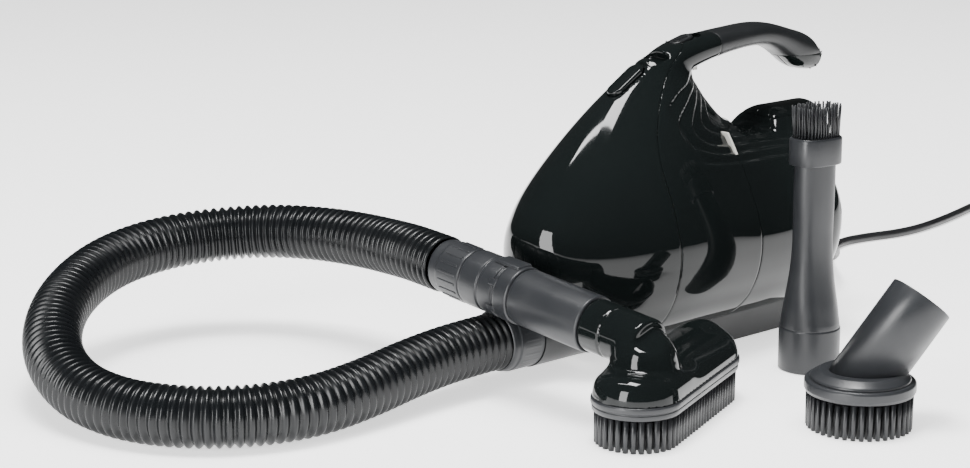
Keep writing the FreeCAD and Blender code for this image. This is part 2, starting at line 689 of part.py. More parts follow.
group("plug_pins", [
    block(17, 1.6, 6.4, "coil_x + 58", f"coil_y - 6.35 - 0.8", f"{plug_z} + 5.3"),
    block(17, 1.6, 6.4, "coil_x + 58", f"coil_y + 6.35 - 0.8", f"{plug_z} + 5.3"),
])

# ---------------------------------------------------------------- hose ends and wand
keep(cut(
    fuse([
        cylinder("cuff_radius", 41, "-port_mouth - 0.5", 0, "port_height"),
        cylinder("cuff_grip", "cuff_end - port_mouth - 0.5", "-cuff_end", 0, "port_height"),
    ]),
    fuse([
        cylinder("hose_bore", 90, "-cuff_end - 5", 0, "port_height"),
        cylinder("hose_radius", 16, "-cuff_end", 0, "port_height"),
    ]),
), "blower_cuff")

wand_start = hose_end
wand_turn = Rotation(Vector(0, 0, 1), wand_way)


def on_wand(label, outer, inner, start, end):
    """A tube on the wand's own axis, start and end measured from the hose."""
    tube = cut(cylinder(outer, end - start, axis="Z"), cylinder(inner, end - start, axis="Z"))
    keep(tube, label, Placement(wand_start + wand_way * start, wand_turn))


WAND_STOPS = {"cuff": 28.8, "collar": 60.6, "lock": 72.8, "sleeve": 132.5}
on_wand("hose_cuff", "wand_radius", "wand_bore", 0.3, WAND_STOPS["cuff"])
on_wand("collar_ring", "wand_radius + 0.3", "wand_bore", WAND_STOPS["cuff"], WAND_STOPS["collar"])
on_wand("lock_ring", "wand_radius + 0.6", "wand_bore", WAND_STOPS["collar"], WAND_STOPS["lock"])
on_wand("wand_sleeve", "wand_radius", "wand_bore", WAND_STOPS["lock"], WAND_STOPS["sleeve"])

# ---------------------------------------------------------------- upholstery brush
head_turn = Rotation(Vector(0, 0, 1), 22)
head_middle = Vector(-160.9, -122.2, 0)
head_long, head_wide = size("head_length"), size("head_width")
head_base, head_band = size("head_base"), size("head_band")
inset = size("tuft_inset")
feature("head_bristles", stadium(
    head_long - 2 * inset, head_wide - 2 * inset, head_base - 0.05, head_middle, head_turn
))
feature("head_base", stadium(head_long, head_wide, head_band, head_middle, head_turn, head_base))


def stadium_wire(length, width, z):
    half, radius = length / 2 - width / 2, width / 2
    arcs = [
        Part.LineSegment(Vector(-half, -radius, z), Vector(half, -radius, z)),
        Part.Arc(Vector(half, -radius, z), Vector(half + radius, 0, z), Vector(half, radius, z)),
        Part.LineSegment(Vector(half, radius, z), Vector(-half, radius, z)),
        Part.Arc(Vector(-half, radius, z), Vector(-half - radius, 0, z), Vector(-half, -radius, z)),
    ]
    return Part.Wire([a.toShape() for a in arcs])


cover = Part.makeLoft([
    stadium_wire(head_long - 1, head_wide - 1, head_base + head_band + 0.05),
    stadium_wire(head_long - 3, head_wide - 3, head_base + head_band + 7),
    stadium_wire(head_long - 14, head_wide - 18, head_base + head_band + 17),
], True, True)
cover.Placement = Placement(head_middle, head_turn)
dome_middle = Vector(-193, -134, 44.5)
dome = Part.makeSphere(20, dome_middle)
dome_foot = Part.makeCone(24, 20, 16, Vector(dome_middle.x, dome_middle.y, 29), Vector(0, 0, 1))
neck_r, spigot_r = size("neck_radius"), size("wand_bore") - size("spigot_gap")
neck_end = 170
neck = Part.makeCylinder(
    neck_r, neck_end - WAND_STOPS["sleeve"] - 0.1,
    wand_start + wand_way * (WAND_STOPS["sleeve"] + 0.1), wand_way,
)
spigot = Part.makeCylinder(
    spigot_r, neck_end - 108, wand_start + wand_way * 108, wand_way
)
head = cover.fuse([dome, dome_foot, neck, spigot])
airway = Part.makeCylinder(
    spigot_r - 2.2, 60, wand_start + wand_way * 107, wand_way
)
floor_side = Part.makeBox(600, 400, head_base + head_band + 0.05, Vector(-400, -300, 0))
head = head.cut(airway).cut(floor_side)
feature("upholstery_head", biggest(head))

# ---------------------------------------------------------------- crevice tool with its brush
crevice_at = Vector(-12, -109, 0)
crevice_turn = Rotation(Vector(0, 0, 1), -6)


def oval(half_long, half_short, z, power=0.8):
    loop = []
    for n in range(16):
        a = 2 * math.pi * n / 16
        loop.append(Vector(
            half_long * math.copysign(abs(math.cos(a)) ** power, math.cos(a)),
            half_short * math.copysign(abs(math.sin(a)) ** power, math.sin(a)), z,
        ))
    return rounded(loop)


socket_r, socket_bore = size("socket_radius"), size("socket_bore")
socket_depth, tip = size("socket_depth"), size("crevice_height")
tool_half, tool_thin = size("crevice_width") / 2, size("crevice_depth") / 2
collar_h = size("collar_height")


def crevice_form(shave, low, high):
    """The tool's outside, drawn in by shave: a round foot that narrows to a flat oval."""
    foot = Part.Face(oval(socket_r - shave, socket_r - shave, low, 1.0))
    foot = foot.extrude(Vector(0, 0, socket_depth - low))
    waist = Part.makeLoft([
        oval(socket_r - shave, socket_r - shave, socket_depth, 1.0),
        oval(socket_r - 2.5 - shave, socket_r - 4.5 - shave, socket_depth + 18, 0.95),
        oval(tool_half - shave, tool_thin + 1 - shave, socket_depth + 46, 0.85),
        oval(tool_half - shave, tool_thin - shave, high, 0.8),
    ], True, False)
    return foot.fuse(waist)


crevice = crevice_form(0, 0, tip - 0.3)
hollow_tool = crevice_form(size("crevice_wall"), socket_depth - 1, tip + 1)
socket_hole = Part.makeCylinder(socket_bore, socket_depth)
crevice = biggest(crevice.cut(hollow_tool).cut(socket_hole))
crevice.Placement = Placement(crevice_at, crevice_turn)
feature("crevice_tool", crevice)
fit = size("spigot_gap")
brush_collar = Part.makeLoft([
    oval(tool_half + 3, tool_thin + 3, tip - collar_h, 0.7),
    oval(tool_half + 3, tool_thin + 3, tip, 0.7),
], True, False)
collar_hole = Part.makeLoft([
    oval(tool_half + fit + 0.1, tool_thin + 1 + fit, tip - collar_h - 1, 0.8),
    oval(tool_half + fit + 0.1, tool_thin + 1 + fit, tip + 1, 0.8),
], True, False)
brush_collar = biggest(brush_collar.cut(collar_hole))
brush_collar.Placement = Placement(crevice_at, crevice_turn)
feature("crevice_collar", brush_collar)
tufts = Part.makeLoft([
    oval(tool_half + 2.6, tool_thin + 2.6, tip + 0.05, 0.7),
    oval(tool_half + 2.8, tool_thin + 2.8, tip + size("tuft_height"), 0.7),
], True, False)
tuft_hole = Part.makeLoft([
    oval(tool_half - 3, tool_thin - 3, tip - 1, 0.8),
    oval(tool_half - 3, tool_thin - 3, tip + size("tuft_height") + 1, 0.8),
], True, False)
tufts = biggest(tufts.cut(tuft_hole))
tufts.Placement = Placement(crevice_at, crevice_turn)
feature("crevice_bristles", tufts)

# ---------------------------------------------------------------- dusting brush
dust_at = Vector(-85, -209, 0)
dust_r, dust_tuft, dust_band = size("dust_radius"), size("dust_tuft"), size("dust_band")
keep(cylinder("dust_radius - tuft_inset", "dust_tuft - 0.05", dust_at.x, dust_at.y, 0, "Z"), "dusting_bristles")
dusting_ring = doc.addObject("Part::Cylinder", "dusting_ring")
dusting_ring.setExpression("Radius", bound("dust_radius"))
dusting_ring.setExpression("Height", bound("dust_band"))
dusting_ring.Placement = Placement(dust_at + Vector(0, 0, dust_tuft), Rotation())
keep(dusting_ring, "dusting_ring")
socket_foot = dust_at + Vector(0, 0, 27)
socket_end = Vector(-49.4, -225, 76)
socket_way = (socket_end - socket_foot)
socket_length = socket_way.Length
socket_way.normalize()
neck = Part.makeCylinder(socket_r, socket_length + 14, socket_foot - socket_way * 14, socket_way)
shoulder = Part.makeCone(
    dust_r - 3, dust_r - 9, 5, dust_at + Vector(0, 0, dust_tuft + dust_band + 0.05), Vector(0, 0, 1)
)
neck = neck.fuse(shoulder).common(
    Part.makeBox(400, 400, 200, Vector(-300, -400, dust_tuft + dust_band + 0.05))
)
neck = neck.common(
    Part.makeCylinder(60, 200, socket_end - socket_way * 200, socket_way).fuse(shoulder)
)
neck = neck.cut(Part.makeCylinder(socket_bore, 34, socket_end - socket_way * 32, socket_way))
feature("dusting_neck", biggest(neck))

# ---------------------------------------------------------------- check and export
doc.recompute()
for obj in doc.Objects:
    if {"Invalid", "Error"} & set(obj.State):
        raise RuntimeError(f"{obj.Label} did not recompute: {obj.State}")
for label, obj in nodes.items():
    if obj.Shape.isNull() or not obj.Shape.isValid() or not obj.Shape.Solids:
        raise RuntimeError(f"{label} has no sound solid")
if len(nodes) > 60:
    raise RuntimeError(f"{len(nodes)} sub-parts are too many")
os.makedirs("parts", exist_ok=True)
for label, obj in nodes.items():
    obj.Shape.exportStep(f"parts/{label}.step")
print(len(nodes), "sub-parts written")
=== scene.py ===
import json
import math
import random
import bpy
import bmesh
import numpy as np
from mathutils import Matrix, Vector


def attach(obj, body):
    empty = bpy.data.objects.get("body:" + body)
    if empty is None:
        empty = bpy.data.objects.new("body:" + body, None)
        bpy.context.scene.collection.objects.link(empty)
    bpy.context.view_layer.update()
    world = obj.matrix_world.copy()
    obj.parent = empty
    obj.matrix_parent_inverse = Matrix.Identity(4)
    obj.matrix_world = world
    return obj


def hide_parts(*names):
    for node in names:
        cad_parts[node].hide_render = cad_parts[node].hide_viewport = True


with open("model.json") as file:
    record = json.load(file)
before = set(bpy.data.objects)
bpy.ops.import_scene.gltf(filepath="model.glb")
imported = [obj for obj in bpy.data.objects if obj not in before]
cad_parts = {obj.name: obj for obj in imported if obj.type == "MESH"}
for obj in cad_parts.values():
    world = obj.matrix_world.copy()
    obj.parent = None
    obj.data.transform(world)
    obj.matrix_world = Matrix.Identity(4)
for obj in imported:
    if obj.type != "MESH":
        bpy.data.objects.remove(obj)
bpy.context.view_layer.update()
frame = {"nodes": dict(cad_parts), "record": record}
mm = 0.001
rng = random.Random(7)


# shared helpers
def meshObject(name, verts, faces, material=None, smooth=True):
    mesh = bpy.data.meshes.new(name)
    mesh.from_pydata([tuple(map(float, v)) for v in verts], [], [tuple(map(int, f)) for f in faces])
    mesh.validate()
    mesh.update()
    obj = bpy.data.objects.new(name, mesh)
    bpy.context.scene.collection.objects.link(obj)
    if smooth:
        mesh.polygons.foreach_set("use_smooth", [True] * len(mesh.polygons))
    if material:
        mesh.materials.append(material)
    return obj


def bakeModifiers(obj):
    # the modified mesh replaces the plain one, and the modifiers go
    deps = bpy.context.evaluated_depsgraph_get()
    deps.update()
    baked = bpy.data.meshes.new_from_object(obj.evaluated_get(deps))
    obj.modifiers.clear()
    old = obj.data
    obj.data = baked
    baked.name = obj.name
    if not baked.materials and old.materials:
        for m in old.materials:
            baked.materials.append(m)
    return obj


def markSharp(obj, angle=35):
    bm = bmesh.new()
    bm.from_mesh(obj.data)
    limit = math.radians(angle)
    for edge in bm.edges:
        edge.smooth = not (len(edge.link_faces) == 2 and edge.calc_face_angle(0) > limit)
    bm.to_mesh(obj.data)
    bm.free()
    return obj


def finishPiece(obj, body, slot, *nodes, material=None):
    if material:
        obj.data.materials.clear()
        obj.data.materials.append(material)
    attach(obj, body)
    if nodes:
        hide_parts(*nodes)
    return obj


def joinMeshes(name, objs, material=None):
    verts, faces = [], []
    smooth = []
    for obj in objs:
        base = len(verts)
        verts += [obj.matrix_world @ v.co for v in obj.data.vertices]
        faces += [[base + i for i in p.vertices] for p in obj.data.polygons]
        smooth += [p.use_smooth for p in obj.data.polygons]
    for obj in objs:
        bpy.data.objects.remove(obj)
    joined = meshObject(name, verts, faces, material)
    joined.data.polygons.foreach_set("use_smooth", smooth)
    return joined


def axisMatrix(origin, direction, side=(0, 0, 1)):
    # local Z runs along direction, local X leans towards side
    z = Vector(direction).normalized()
    x = Vector(side) - Vector(side).dot(z) * z
    x.normalize()
    y = z.cross(x)
    m = Matrix((x, y, z)).transposed().to_4x4()
    m.translation = Vector(origin)
    return m


def lathe(name, profile, place, segments=96, closed=True, material=None, squashX=1.0):
    # profile holds (along, radius) pairs; a closed one is a tube wall, an open one is capped
    rows = [(a, r) for a, r in profile]
    verts, faces = [], []
    for a, r in rows:
        for k in range(segments):
            t = 2 * math.pi * k / segments
            verts.append(place @ Vector((r * math.cos(t) * squashX, r * math.sin(t), a)))
    count = len(rows)
    for i in range(count if closed else count - 1):
        j = (i + 1) % count
        for k in range(segments):
            n = (k + 1) % segments
            faces.append((i * segments + k, i * segments + n, j * segments + n, j * segments + k))
    if not closed:
        faces.append(tuple(range(segments))[::-1])
        faces.append(tuple((count - 1) * segments + k for k in range(segments)))
    obj = meshObject(name, verts, faces, material)
    bm = bmesh.new()
    bm.from_mesh(obj.data)
    bmesh.ops.remove_doubles(bm, verts=bm.verts, dist=1e-7)
    bmesh.ops.recalc_face_normals(bm, faces=bm.faces)
    bm.to_mesh(obj.data)
    bm.free()
    return markSharp(obj, 40)


def roundedProfile(points, radius, steps=4):
    # rounds the corners of a closed (along, radius) outline
    out = []
    n = len(points)
    for i in range(n):
        p, c, q = (Vector(points[(i + k) % n]) for k in (-1, 0, 1))
        a, b = (p - c), (q - c)
        reach = min(radius, a.length * 0.45, b.length * 0.45)
        a, b = c + a.normalized() * reach, c + b.normalized() * reach
        for k in range(steps + 1):
            u = k / steps
            out.append(tuple((1 - u) ** 2 * a + 2 * u * (1 - u) * c + u * u * b))
    return out


# materials
def newGroup(name, inputs, outputs, kind="ShaderNodeTree"):
    tree = bpy.data.node_groups.new(name, kind)
    for label, socket, value in inputs:
        item = tree.interface.new_socket(label, in_out="INPUT", socket_type=socket)
        if value is not None:
            item.default_value = value
    for label, socket in outputs:
        tree.interface.new_socket(label, in_out="OUTPUT", socket_type=socket)
    start = tree.nodes.new("NodeGroupInput")
    end = tree.nodes.new("NodeGroupOutput")
    return tree, start, end


def mouldGroup():
    # colour drift, fine grain and soft smudges of a moulded plastic
    tree, start, end = newGroup(
        "mouldedPlastic",
        [("Light", "NodeSocketColor", None), ("Dark", "NodeSocketColor", None),
         ("Rough Low", "NodeSocketFloat", 0.2), ("Rough High", "NodeSocketFloat", 0.3),
         ("Grain Scale", "NodeSocketFloat", 900.0), ("Drift Scale", "NodeSocketFloat", 18.0)],
        [("Color", "NodeSocketColor"), ("Roughness", "NodeSocketFloat"), ("Height", "NodeSocketFloat")],
    )
    link = tree.links.new
    coords = tree.nodes.new("ShaderNodeTexCoord")
    drift = tree.nodes.new("ShaderNodeTexNoise")
    grain = tree.nodes.new("ShaderNodeTexNoise")
    smudge = tree.nodes.new("ShaderNodeTexNoise")
    drift.inputs["Detail"].default_value = 4
    grain.inputs["Detail"].default_value = 2
    smudge.inputs["Detail"].default_value = 6
    smudge.inputs["Scale"].default_value = 55
    for node in (drift, grain, smudge):
        link(coords.outputs["Object"], node.inputs["Vector"])
    link(start.outputs["Drift Scale"], drift.inputs["Scale"])
    link(start.outputs["Grain Scale"], grain.inputs["Scale"])
    mix = tree.nodes.new("ShaderNodeMix")
    mix.data_type = "RGBA"
    link(drift.outputs["Fac"], mix.inputs["Factor"])
    link(start.outputs["Dark"], mix.inputs[6])
    link(start.outputs["Light"], mix.inputs[7])
    rough = tree.nodes.new("ShaderNodeMapRange")
    link(smudge.outputs["Fac"], rough.inputs["Value"])
    rough.inputs["From Min"].default_value = 0.35
    rough.inputs["From Max"].default_value = 0.7
    link(start.outputs["Rough Low"], rough.inputs["To Min"])
    link(start.outputs["Rough High"], rough.inputs["To Max"])
    link(mix.outputs[2], end.inputs["Color"])
    link(rough.outputs["Result"], end.inputs["Roughness"])
    link(grain.outputs["Fac"], end.inputs["Height"])
    return tree


mould = mouldGroup()


def plastic(name, light, dark, rough, grain=900, bump=0.05, drift=18, coat=0.0, specular=0.5, metal=0.0):
    mat = bpy.data.materials.new(name)
    mat.use_nodes = True
    nodes, link = mat.node_tree.nodes, mat.node_tree.links.new
    bsdf = nodes["Principled BSDF"]
    group = nodes.new("ShaderNodeGroup")
    group.node_tree = mould
    group.inputs["Light"].default_value = (*light, 1)
    group.inputs["Dark"].default_value = (*dark, 1)
    group.inputs["Rough Low"].default_value = rough[0]
    group.inputs["Rough High"].default_value = rough[1]
    group.inputs["Grain Scale"].default_value = grain
    group.inputs["Drift Scale"].default_value = drift
    link(group.outputs["Color"], bsdf.inputs["Base Color"])
    link(group.outputs["Roughness"], bsdf.inputs["Roughness"])
    height = nodes.new("ShaderNodeBump")
    height.inputs["Strength"].default_value = bump
    height.inputs["Distance"].default_value = 0.0004
    link(group.outputs["Height"], height.inputs["Height"])
    link(height.outputs["Normal"], bsdf.inputs["Normal"])
    bsdf.inputs["Specular IOR Level"].default_value = specular
    bsdf.inputs["Metallic"].default_value = metal
    if coat:
        bsdf.inputs["Coat Weight"].default_value = coat
        bsdf.inputs["Coat Roughness"].default_value = 0.03
    return mat


mats = {
    "gloss_black": plastic("polishedBlackShell", (0.0065, 0.0085, 0.0085), (0.003, 0.004, 0.004), (0.035, 0.075),
                           grain=350, bump=0.006, drift=9, coat=0.08, specular=0.30),
    "satin_black": plastic("satinBlackGrip", (0.011, 0.012, 0.013), (0.006, 0.0065, 0.007), (0.32, 0.42), grain=1500, bump=0.10, specular=0.4),
    "charcoal": plastic("charcoalTool", (0.022, 0.0235, 0.026), (0.015, 0.016, 0.018), (0.30, 0.42), grain=1300, bump=0.09),
    "hose_black": plastic("hoseVinyl", (0.006, 0.007, 0.008), (0.003, 0.0035, 0.004), (0.24, 0.34), grain=1100, bump=0.06, specular=0.36),
    "bristle": plastic("nylonBristle", (0.014, 0.015, 0.017), (0.007, 0.0075, 0.0085), (0.32, 0.47), grain=2500, bump=0.1),
    "steel": plastic("groundSteel", (0.62, 0.62, 0.63), (0.48, 0.48, 0.49), (0.28, 0.42), grain=1600, bump=0.1, metal=1.0),
    "iron": plastic("laminatedCore", (0.16, 0.16, 0.17), (0.09, 0.09, 0.10), (0.4, 0.55), grain=2400, bump=0.2, metal=0.8),
    "copper": plastic("enamelledWindings", (0.62, 0.26, 0.12), (0.42, 0.15, 0.06), (0.22, 0.34), grain=3000, bump=0.3, metal=0.9),
    "brass": plastic("brassParts", (0.75, 0.56, 0.25), (0.58, 0.42, 0.18), (0.18, 0.3), grain=1800, bump=0.05, metal=1.0),
    "aluminium": plastic("turnedAluminium", (0.72, 0.73, 0.75), (0.60, 0.61, 0.63), (0.25, 0.36), grain=1700, bump=0.08, metal=1.0),
    "rubber": plastic("softRubber", (0.022, 0.022, 0.023), (0.012, 0.012, 0.013), (0.55, 0.7), grain=900, bump=0.15, specular=0.35),
    "paper": plastic("filterPaper", (0.66, 0.60, 0.48), (0.50, 0.45, 0.35), (0.8, 0.92), grain=700, bump=0.5, specular=0.2),
    "foam": plastic("openFoam", (0.10, 0.10, 0.11), (0.03, 0.03, 0.035), (0.85, 0.95), grain=420, bump=0.9, specular=0.15),
    "carbon": plastic("pressedCarbon", (0.05, 0.05, 0.055), (0.025, 0.025, 0.028), (0.5, 0.65), grain=1800, bump=0.2),
    "white_plastic": plastic("naturalNylon", (0.66, 0.65, 0.60), (0.52, 0.51, 0.47), (0.4, 0.5), grain=1000, bump=0.08),
    "cord_rubber": plastic("leadJacket", (0.014, 0.014, 0.015), (0.007, 0.007, 0.008), (0.34, 0.46), grain=1400, bump=0.1),
}
slotOf = {s["node"]: s["material_slot"] for s in frame["record"]["subparts"]}
for node, obj in frame["nodes"].items():
    target = mats[slotOf[node]]
    if obj.material_slots:
        for s in obj.material_slots:
            s.material = target
    else:
        obj.data.materials.append(target)
print("materials ready")

# camera, lights and floor
cameraPlace = {"at": (-1.0976, -0.9978, 0.410), "tiltDown": 13.0, "heading": 42.0, "lens": 81.65}
lens = bpy.data.cameras.new("photoCamera")
lens.lens = cameraPlace["lens"]
lens.sensor_width = 36
lens.clip_end = 50
camera = bpy.data.objects.new("photoCamera", lens)
camera.location = cameraPlace["at"]
camera.rotation_euler = (math.radians(90 - cameraPlace["tiltDown"]), 0, math.radians(-cameraPlace["heading"]))
bpy.context.scene.collection.objects.link(camera)
bpy.context.scene.camera = camera

floorMat = bpy.data.materials.new("paleSweep")
floorMat.use_nodes = True
floorNode = floorMat.node_tree.nodes["Principled BSDF"]
floorNode.inputs["Base Color"].default_value = (0.93, 0.93, 0.93, 1)
floorNode.inputs["Roughness"].default_value = 0.6
floorNode.inputs["Emission Color"].default_value = (1, 1, 1, 1)
floorNode.inputs["Emission Strength"].default_value = 1.25
sweep = meshObject("floorSweep", [(-9, -9, 0), (9, -9, 0), (9, 9, 0), (-9, 9, 0)], [(0, 1, 2, 3)], floorMat, smooth=False)

world = bpy.data.worlds.new("studio")
world.use_nodes = True
world.node_tree.nodes["Background"].inputs["Color"].default_value = (0.95, 0.98, 1.0, 1)
world.node_tree.nodes["Background"].inputs["Strength"].default_value = 0.05
bpy.context.scene.world = world


def softBox(name, at, aim, width, height, power):
    light = bpy.data.lights.new(name, "AREA")
    light.shape = "RECTANGLE"
    light.size, light.size_y = width, height
    light.energy = power
    obj = bpy.data.objects.new(name, light)
    obj.location = at
    obj.rotation_euler = (Vector(aim) - Vector(at)).to_track_quat("-Z", "Y").to_euler()
    bpy.context.scene.collection.objects.link(obj)
    return obj


def panel(name, at, width, length, turn, power):
    # a flat panel overhead, facing straight down
    obj = softBox(name, at, (at[0], at[1], 0), width, length, power)
    obj.rotation_euler = (0, 0, math.radians(turn))
    return obj


panel("crestPatch", (-0.284, 0.024, 2.2), 0.70, 0.68, 15, 60)
panel("crestStrip", (-0.79, 0.60, 2.2), 0.12, 0.80, 14, 12)
softBox("overhead", (0.3, -0.2, 2.6), (0, 0, 0), 2.2, 2.2, 90).visible_glossy = False
softBox("frontFill", (-0.9, -2.4, 1.3), (-0.1, 0, 0.1), 1.4, 1.0, 14).visible_glossy = False
softBox("sideWindow", (-2.4, -0.42, 0.66), (-0.16, 0, 0.08), 0.8, 1.6, 66)
print("studio ready")

# routes of the hose and the lead
hoseRoute = [
    (-176, 0, 29), (-218, 0, 29), (-261, -2, 26), (-303, -7, 21.5), (-344, -8, 18.8),
    (-382, 3, 18.6), (-412, 28, 18.6), (-430, 65, 18.8), (-435, 107, 23), (-425, 149, 34),
    (-398, 187, 46), (-362, 216, 55.5), (-323, 233, 62.3), (-282, 236, 66.4), (-245, 224, 69),
    (-216, 199, 71), (-200, 165, 72.2), (-193.5, 128, 73), (-193.4, 97, 73.6), (-196.6, 68, 74.8),
    (-197.6, 39, 73),
]
leadRoute = [
    (92, 0, 42), (120, 0, 42), (148, 6, 36), (174, 20, 26), (196, 40, 15), (218, 62, 7),
    (245, 84, 3.7), (275, 97, 3.5), (304, 94, 3.5), (332, 86, 3.5), (362, 85, 3.5),
    (396, 90, 3.5), (430, 97.2, 3.5), (464, 106, 3.5), (497, 112.5, 3.6), (528, 116.2, 4.3),
]
coil = {"centre": (555, 66), "radii": (50.3, 43.3, 36.3, 29.6), "layers": (4.7, 11.6, 18.4), "perTurn": 14}


def coilPoints():
    # turns wound inwards on the lowest layer, outwards on the next, and inwards on top
    cx, cy = coil["centre"]
    turns = []
    for layer, z in enumerate(coil["layers"]):
        radii = coil["radii"] if layer % 2 == 0 else coil["radii"][::-1]
        turns += [(r, z) for r in radii]
    points = []
    n = coil["perTurn"]
    total = len(turns) * n
    for i in range(2, total):
        turn, k = divmod(i, n)
        blend = max(0.0, (k / n - 0.72) / 0.28)
        blend = blend * blend * (3 - 2 * blend)
        r, z = turns[turn]
        r2, z2 = turns[min(turn + 1, len(turns) - 1)]
        r, z = r + (r2 - r) * blend, z + (z2 - z) * blend
        a = math.pi / 2 - 2 * math.pi * i / n
        grow = 1 / math.cos(math.pi / n) ** 0.9
        points.append((cx + r * grow * math.cos(a), cy + r * grow * math.sin(a), z))
    return points


def splineObject(name, route, resolution=16):
    curve = bpy.data.curves.new(name, "CURVE")
    curve.dimensions = "3D"
    spline = curve.splines.new("NURBS")
    spline.points.add(len(route) - 1)
    for point, p in zip(spline.points, route):
        point.co = (p[0] * mm, p[1] * mm, p[2] * mm, 1)
    spline.order_u = 3
    spline.use_endpoint_u = True
    spline.resolution_u = resolution
    obj = bpy.data.objects.new(name, curve)
    bpy.context.scene.collection.objects.link(obj)
    return obj


def splinePath(obj):
    deps = bpy.context.evaluated_depsgraph_get()
    deps.update()
    mesh = bpy.data.meshes.new_from_object(obj.evaluated_get(deps))
    points = [v.co.copy() for v in mesh.vertices]
    bpy.data.meshes.remove(mesh)
    return points


lead = splineObject("powerLead", leadRoute + coilPoints(), 10)
leadPoints = splinePath(lead)
lead.data.bevel_depth = 3.5 * mm
lead.data.bevel_resolution = 6
lead.data.use_fill_caps = True
lead.data.materials.append(mats["cord_rubber"])
finishPiece(lead, "housing", "cord_rubber", "power_cord", "cord_coil")

hoseSpec = {"radius": 18.5, "depth": 2.5, "pitch": 5.6, "step": 0.62, "sides": 44}
hoseLine = splineObject("hoseLine", hoseRoute, 24)
hosePath = splinePath(hoseLine)
bpy.data.objects.remove(hoseLine)


def corrugationTree():
    # a polyline becomes a tube whose radius swells into a rib at every pitch
    tree, start, end = newGroup(
        "corrugatedTube",
        [("Geometry", "NodeSocketGeometry", None), ("Radius", "NodeSocketFloat", 0.0185),
         ("Depth", "NodeSocketFloat", 0.002), ("Pitch", "NodeSocketFloat", 0.0056),
         ("Step", "NodeSocketFloat", 0.0006), ("Sides", "NodeSocketInt", 40),
         ("Material", "NodeSocketMaterial", None)],
        [("Geometry", "NodeSocketGeometry")], "GeometryNodeTree",
    )
    link = tree.links.new

    def maths(operation, a, b=None, c=None):
        node = tree.nodes.new("ShaderNodeMath")
        node.operation = operation
        for i, value in enumerate((a, b, c)):
            if value is None:
                continue
            if isinstance(value, (int, float)):
                node.inputs[i].default_value = value
            else:
                link(value, node.inputs[i])
        return node.outputs[0]

    toCurve = tree.nodes.new("GeometryNodeMeshToCurve")
    resample = tree.nodes.new("GeometryNodeResampleCurve")
    resample.mode = "LENGTH"
    along = tree.nodes.new("GeometryNodeSplineParameter")
    setRadius = tree.nodes.new("GeometryNodeSetCurveRadius")
    ring = tree.nodes.new("GeometryNodeCurvePrimitiveCircle")
    ring.inputs["Radius"].default_value = 1.0
    tube = tree.nodes.new("GeometryNodeCurveToMesh")
    smooth = tree.nodes.new("GeometryNodeSetShadeSmooth")
    realize = tree.nodes.new("GeometryNodeRealizeInstances")
    setMaterial = tree.nodes.new("GeometryNodeSetMaterial")
    link(start.outputs["Geometry"], toCurve.inputs["Mesh"])
    link(toCurve.outputs["Curve"], resample.inputs["Curve"])
    link(start.outputs["Step"], resample.inputs["Length"])
    phase = maths("MULTIPLY", maths("DIVIDE", along.outputs["Length"], start.outputs["Pitch"]), 2 * math.pi)
    wave = maths("MULTIPLY_ADD", maths("COSINE", phase), 0.5, 0.5)
    crisp = maths("POWER", wave, 0.72)
    radius = maths("SUBTRACT", start.outputs["Radius"], maths("MULTIPLY", start.outputs["Depth"], maths("SUBTRACT", 1.0, crisp)))
    link(resample.outputs["Curve"], setRadius.inputs["Curve"])
    link(radius, setRadius.inputs["Radius"])
    link(start.outputs["Sides"], ring.inputs["Resolution"])
    link(setRadius.outputs["Curve"], tube.inputs["Curve"])
    link(ring.outputs["Curve"], tube.inputs["Profile Curve"])
    if "Scale" in tube.inputs:
        spread = tree.nodes.new("GeometryNodeInputRadius") if hasattr(bpy.types, "GeometryNodeInputRadius") else None
        if spread:
            link(spread.outputs[0], tube.inputs["Scale"])
    link(tube.outputs["Mesh"], smooth.inputs["Geometry"])
    link(smooth.outputs["Geometry"], realize.inputs["Geometry"])
    link(realize.outputs["Geometry"], setMaterial.inputs["Geometry"])
    link(start.outputs["Material"], setMaterial.inputs["Material"])
    link(setMaterial.outputs["Geometry"], end.inputs["Geometry"])
    return tree


def applyTree(obj, tree, values):
    mod = obj.modifiers.new(tree.name, "NODES")
    mod.node_group = tree
    for item in tree.interface.items_tree:
        if item.in_out == "INPUT" and item.name in values:
            mod[item.identifier] = values[item.name]
    return bakeModifiers(obj)


def polyline(name, points):
    mesh = bpy.data.meshes.new(name)
    mesh.from_pydata([tuple(p) for p in points], [(i, i + 1) for i in range(len(points) - 1)], [])
    obj = bpy.data.objects.new(name, mesh)
    bpy.context.scene.collection.objects.link(obj)
    return obj


hose = polyline("corrugatedHose", hosePath)
applyTree(hose, corrugationTree(), {
    "Radius": hoseSpec["radius"] * mm, "Depth": hoseSpec["depth"] * mm, "Pitch": hoseSpec["pitch"] * mm,
    "Step": hoseSpec["step"] * mm, "Sides": hoseSpec["sides"], "Material": mats["hose_black"],
})
print("hose faces", len(hose.data.polygons), "width", round(max(v.co.z for v in hose.data.vertices), 4))
finishPiece(hose, "hose_assembly", "hose_black", "hose")

print("cord lines ready")

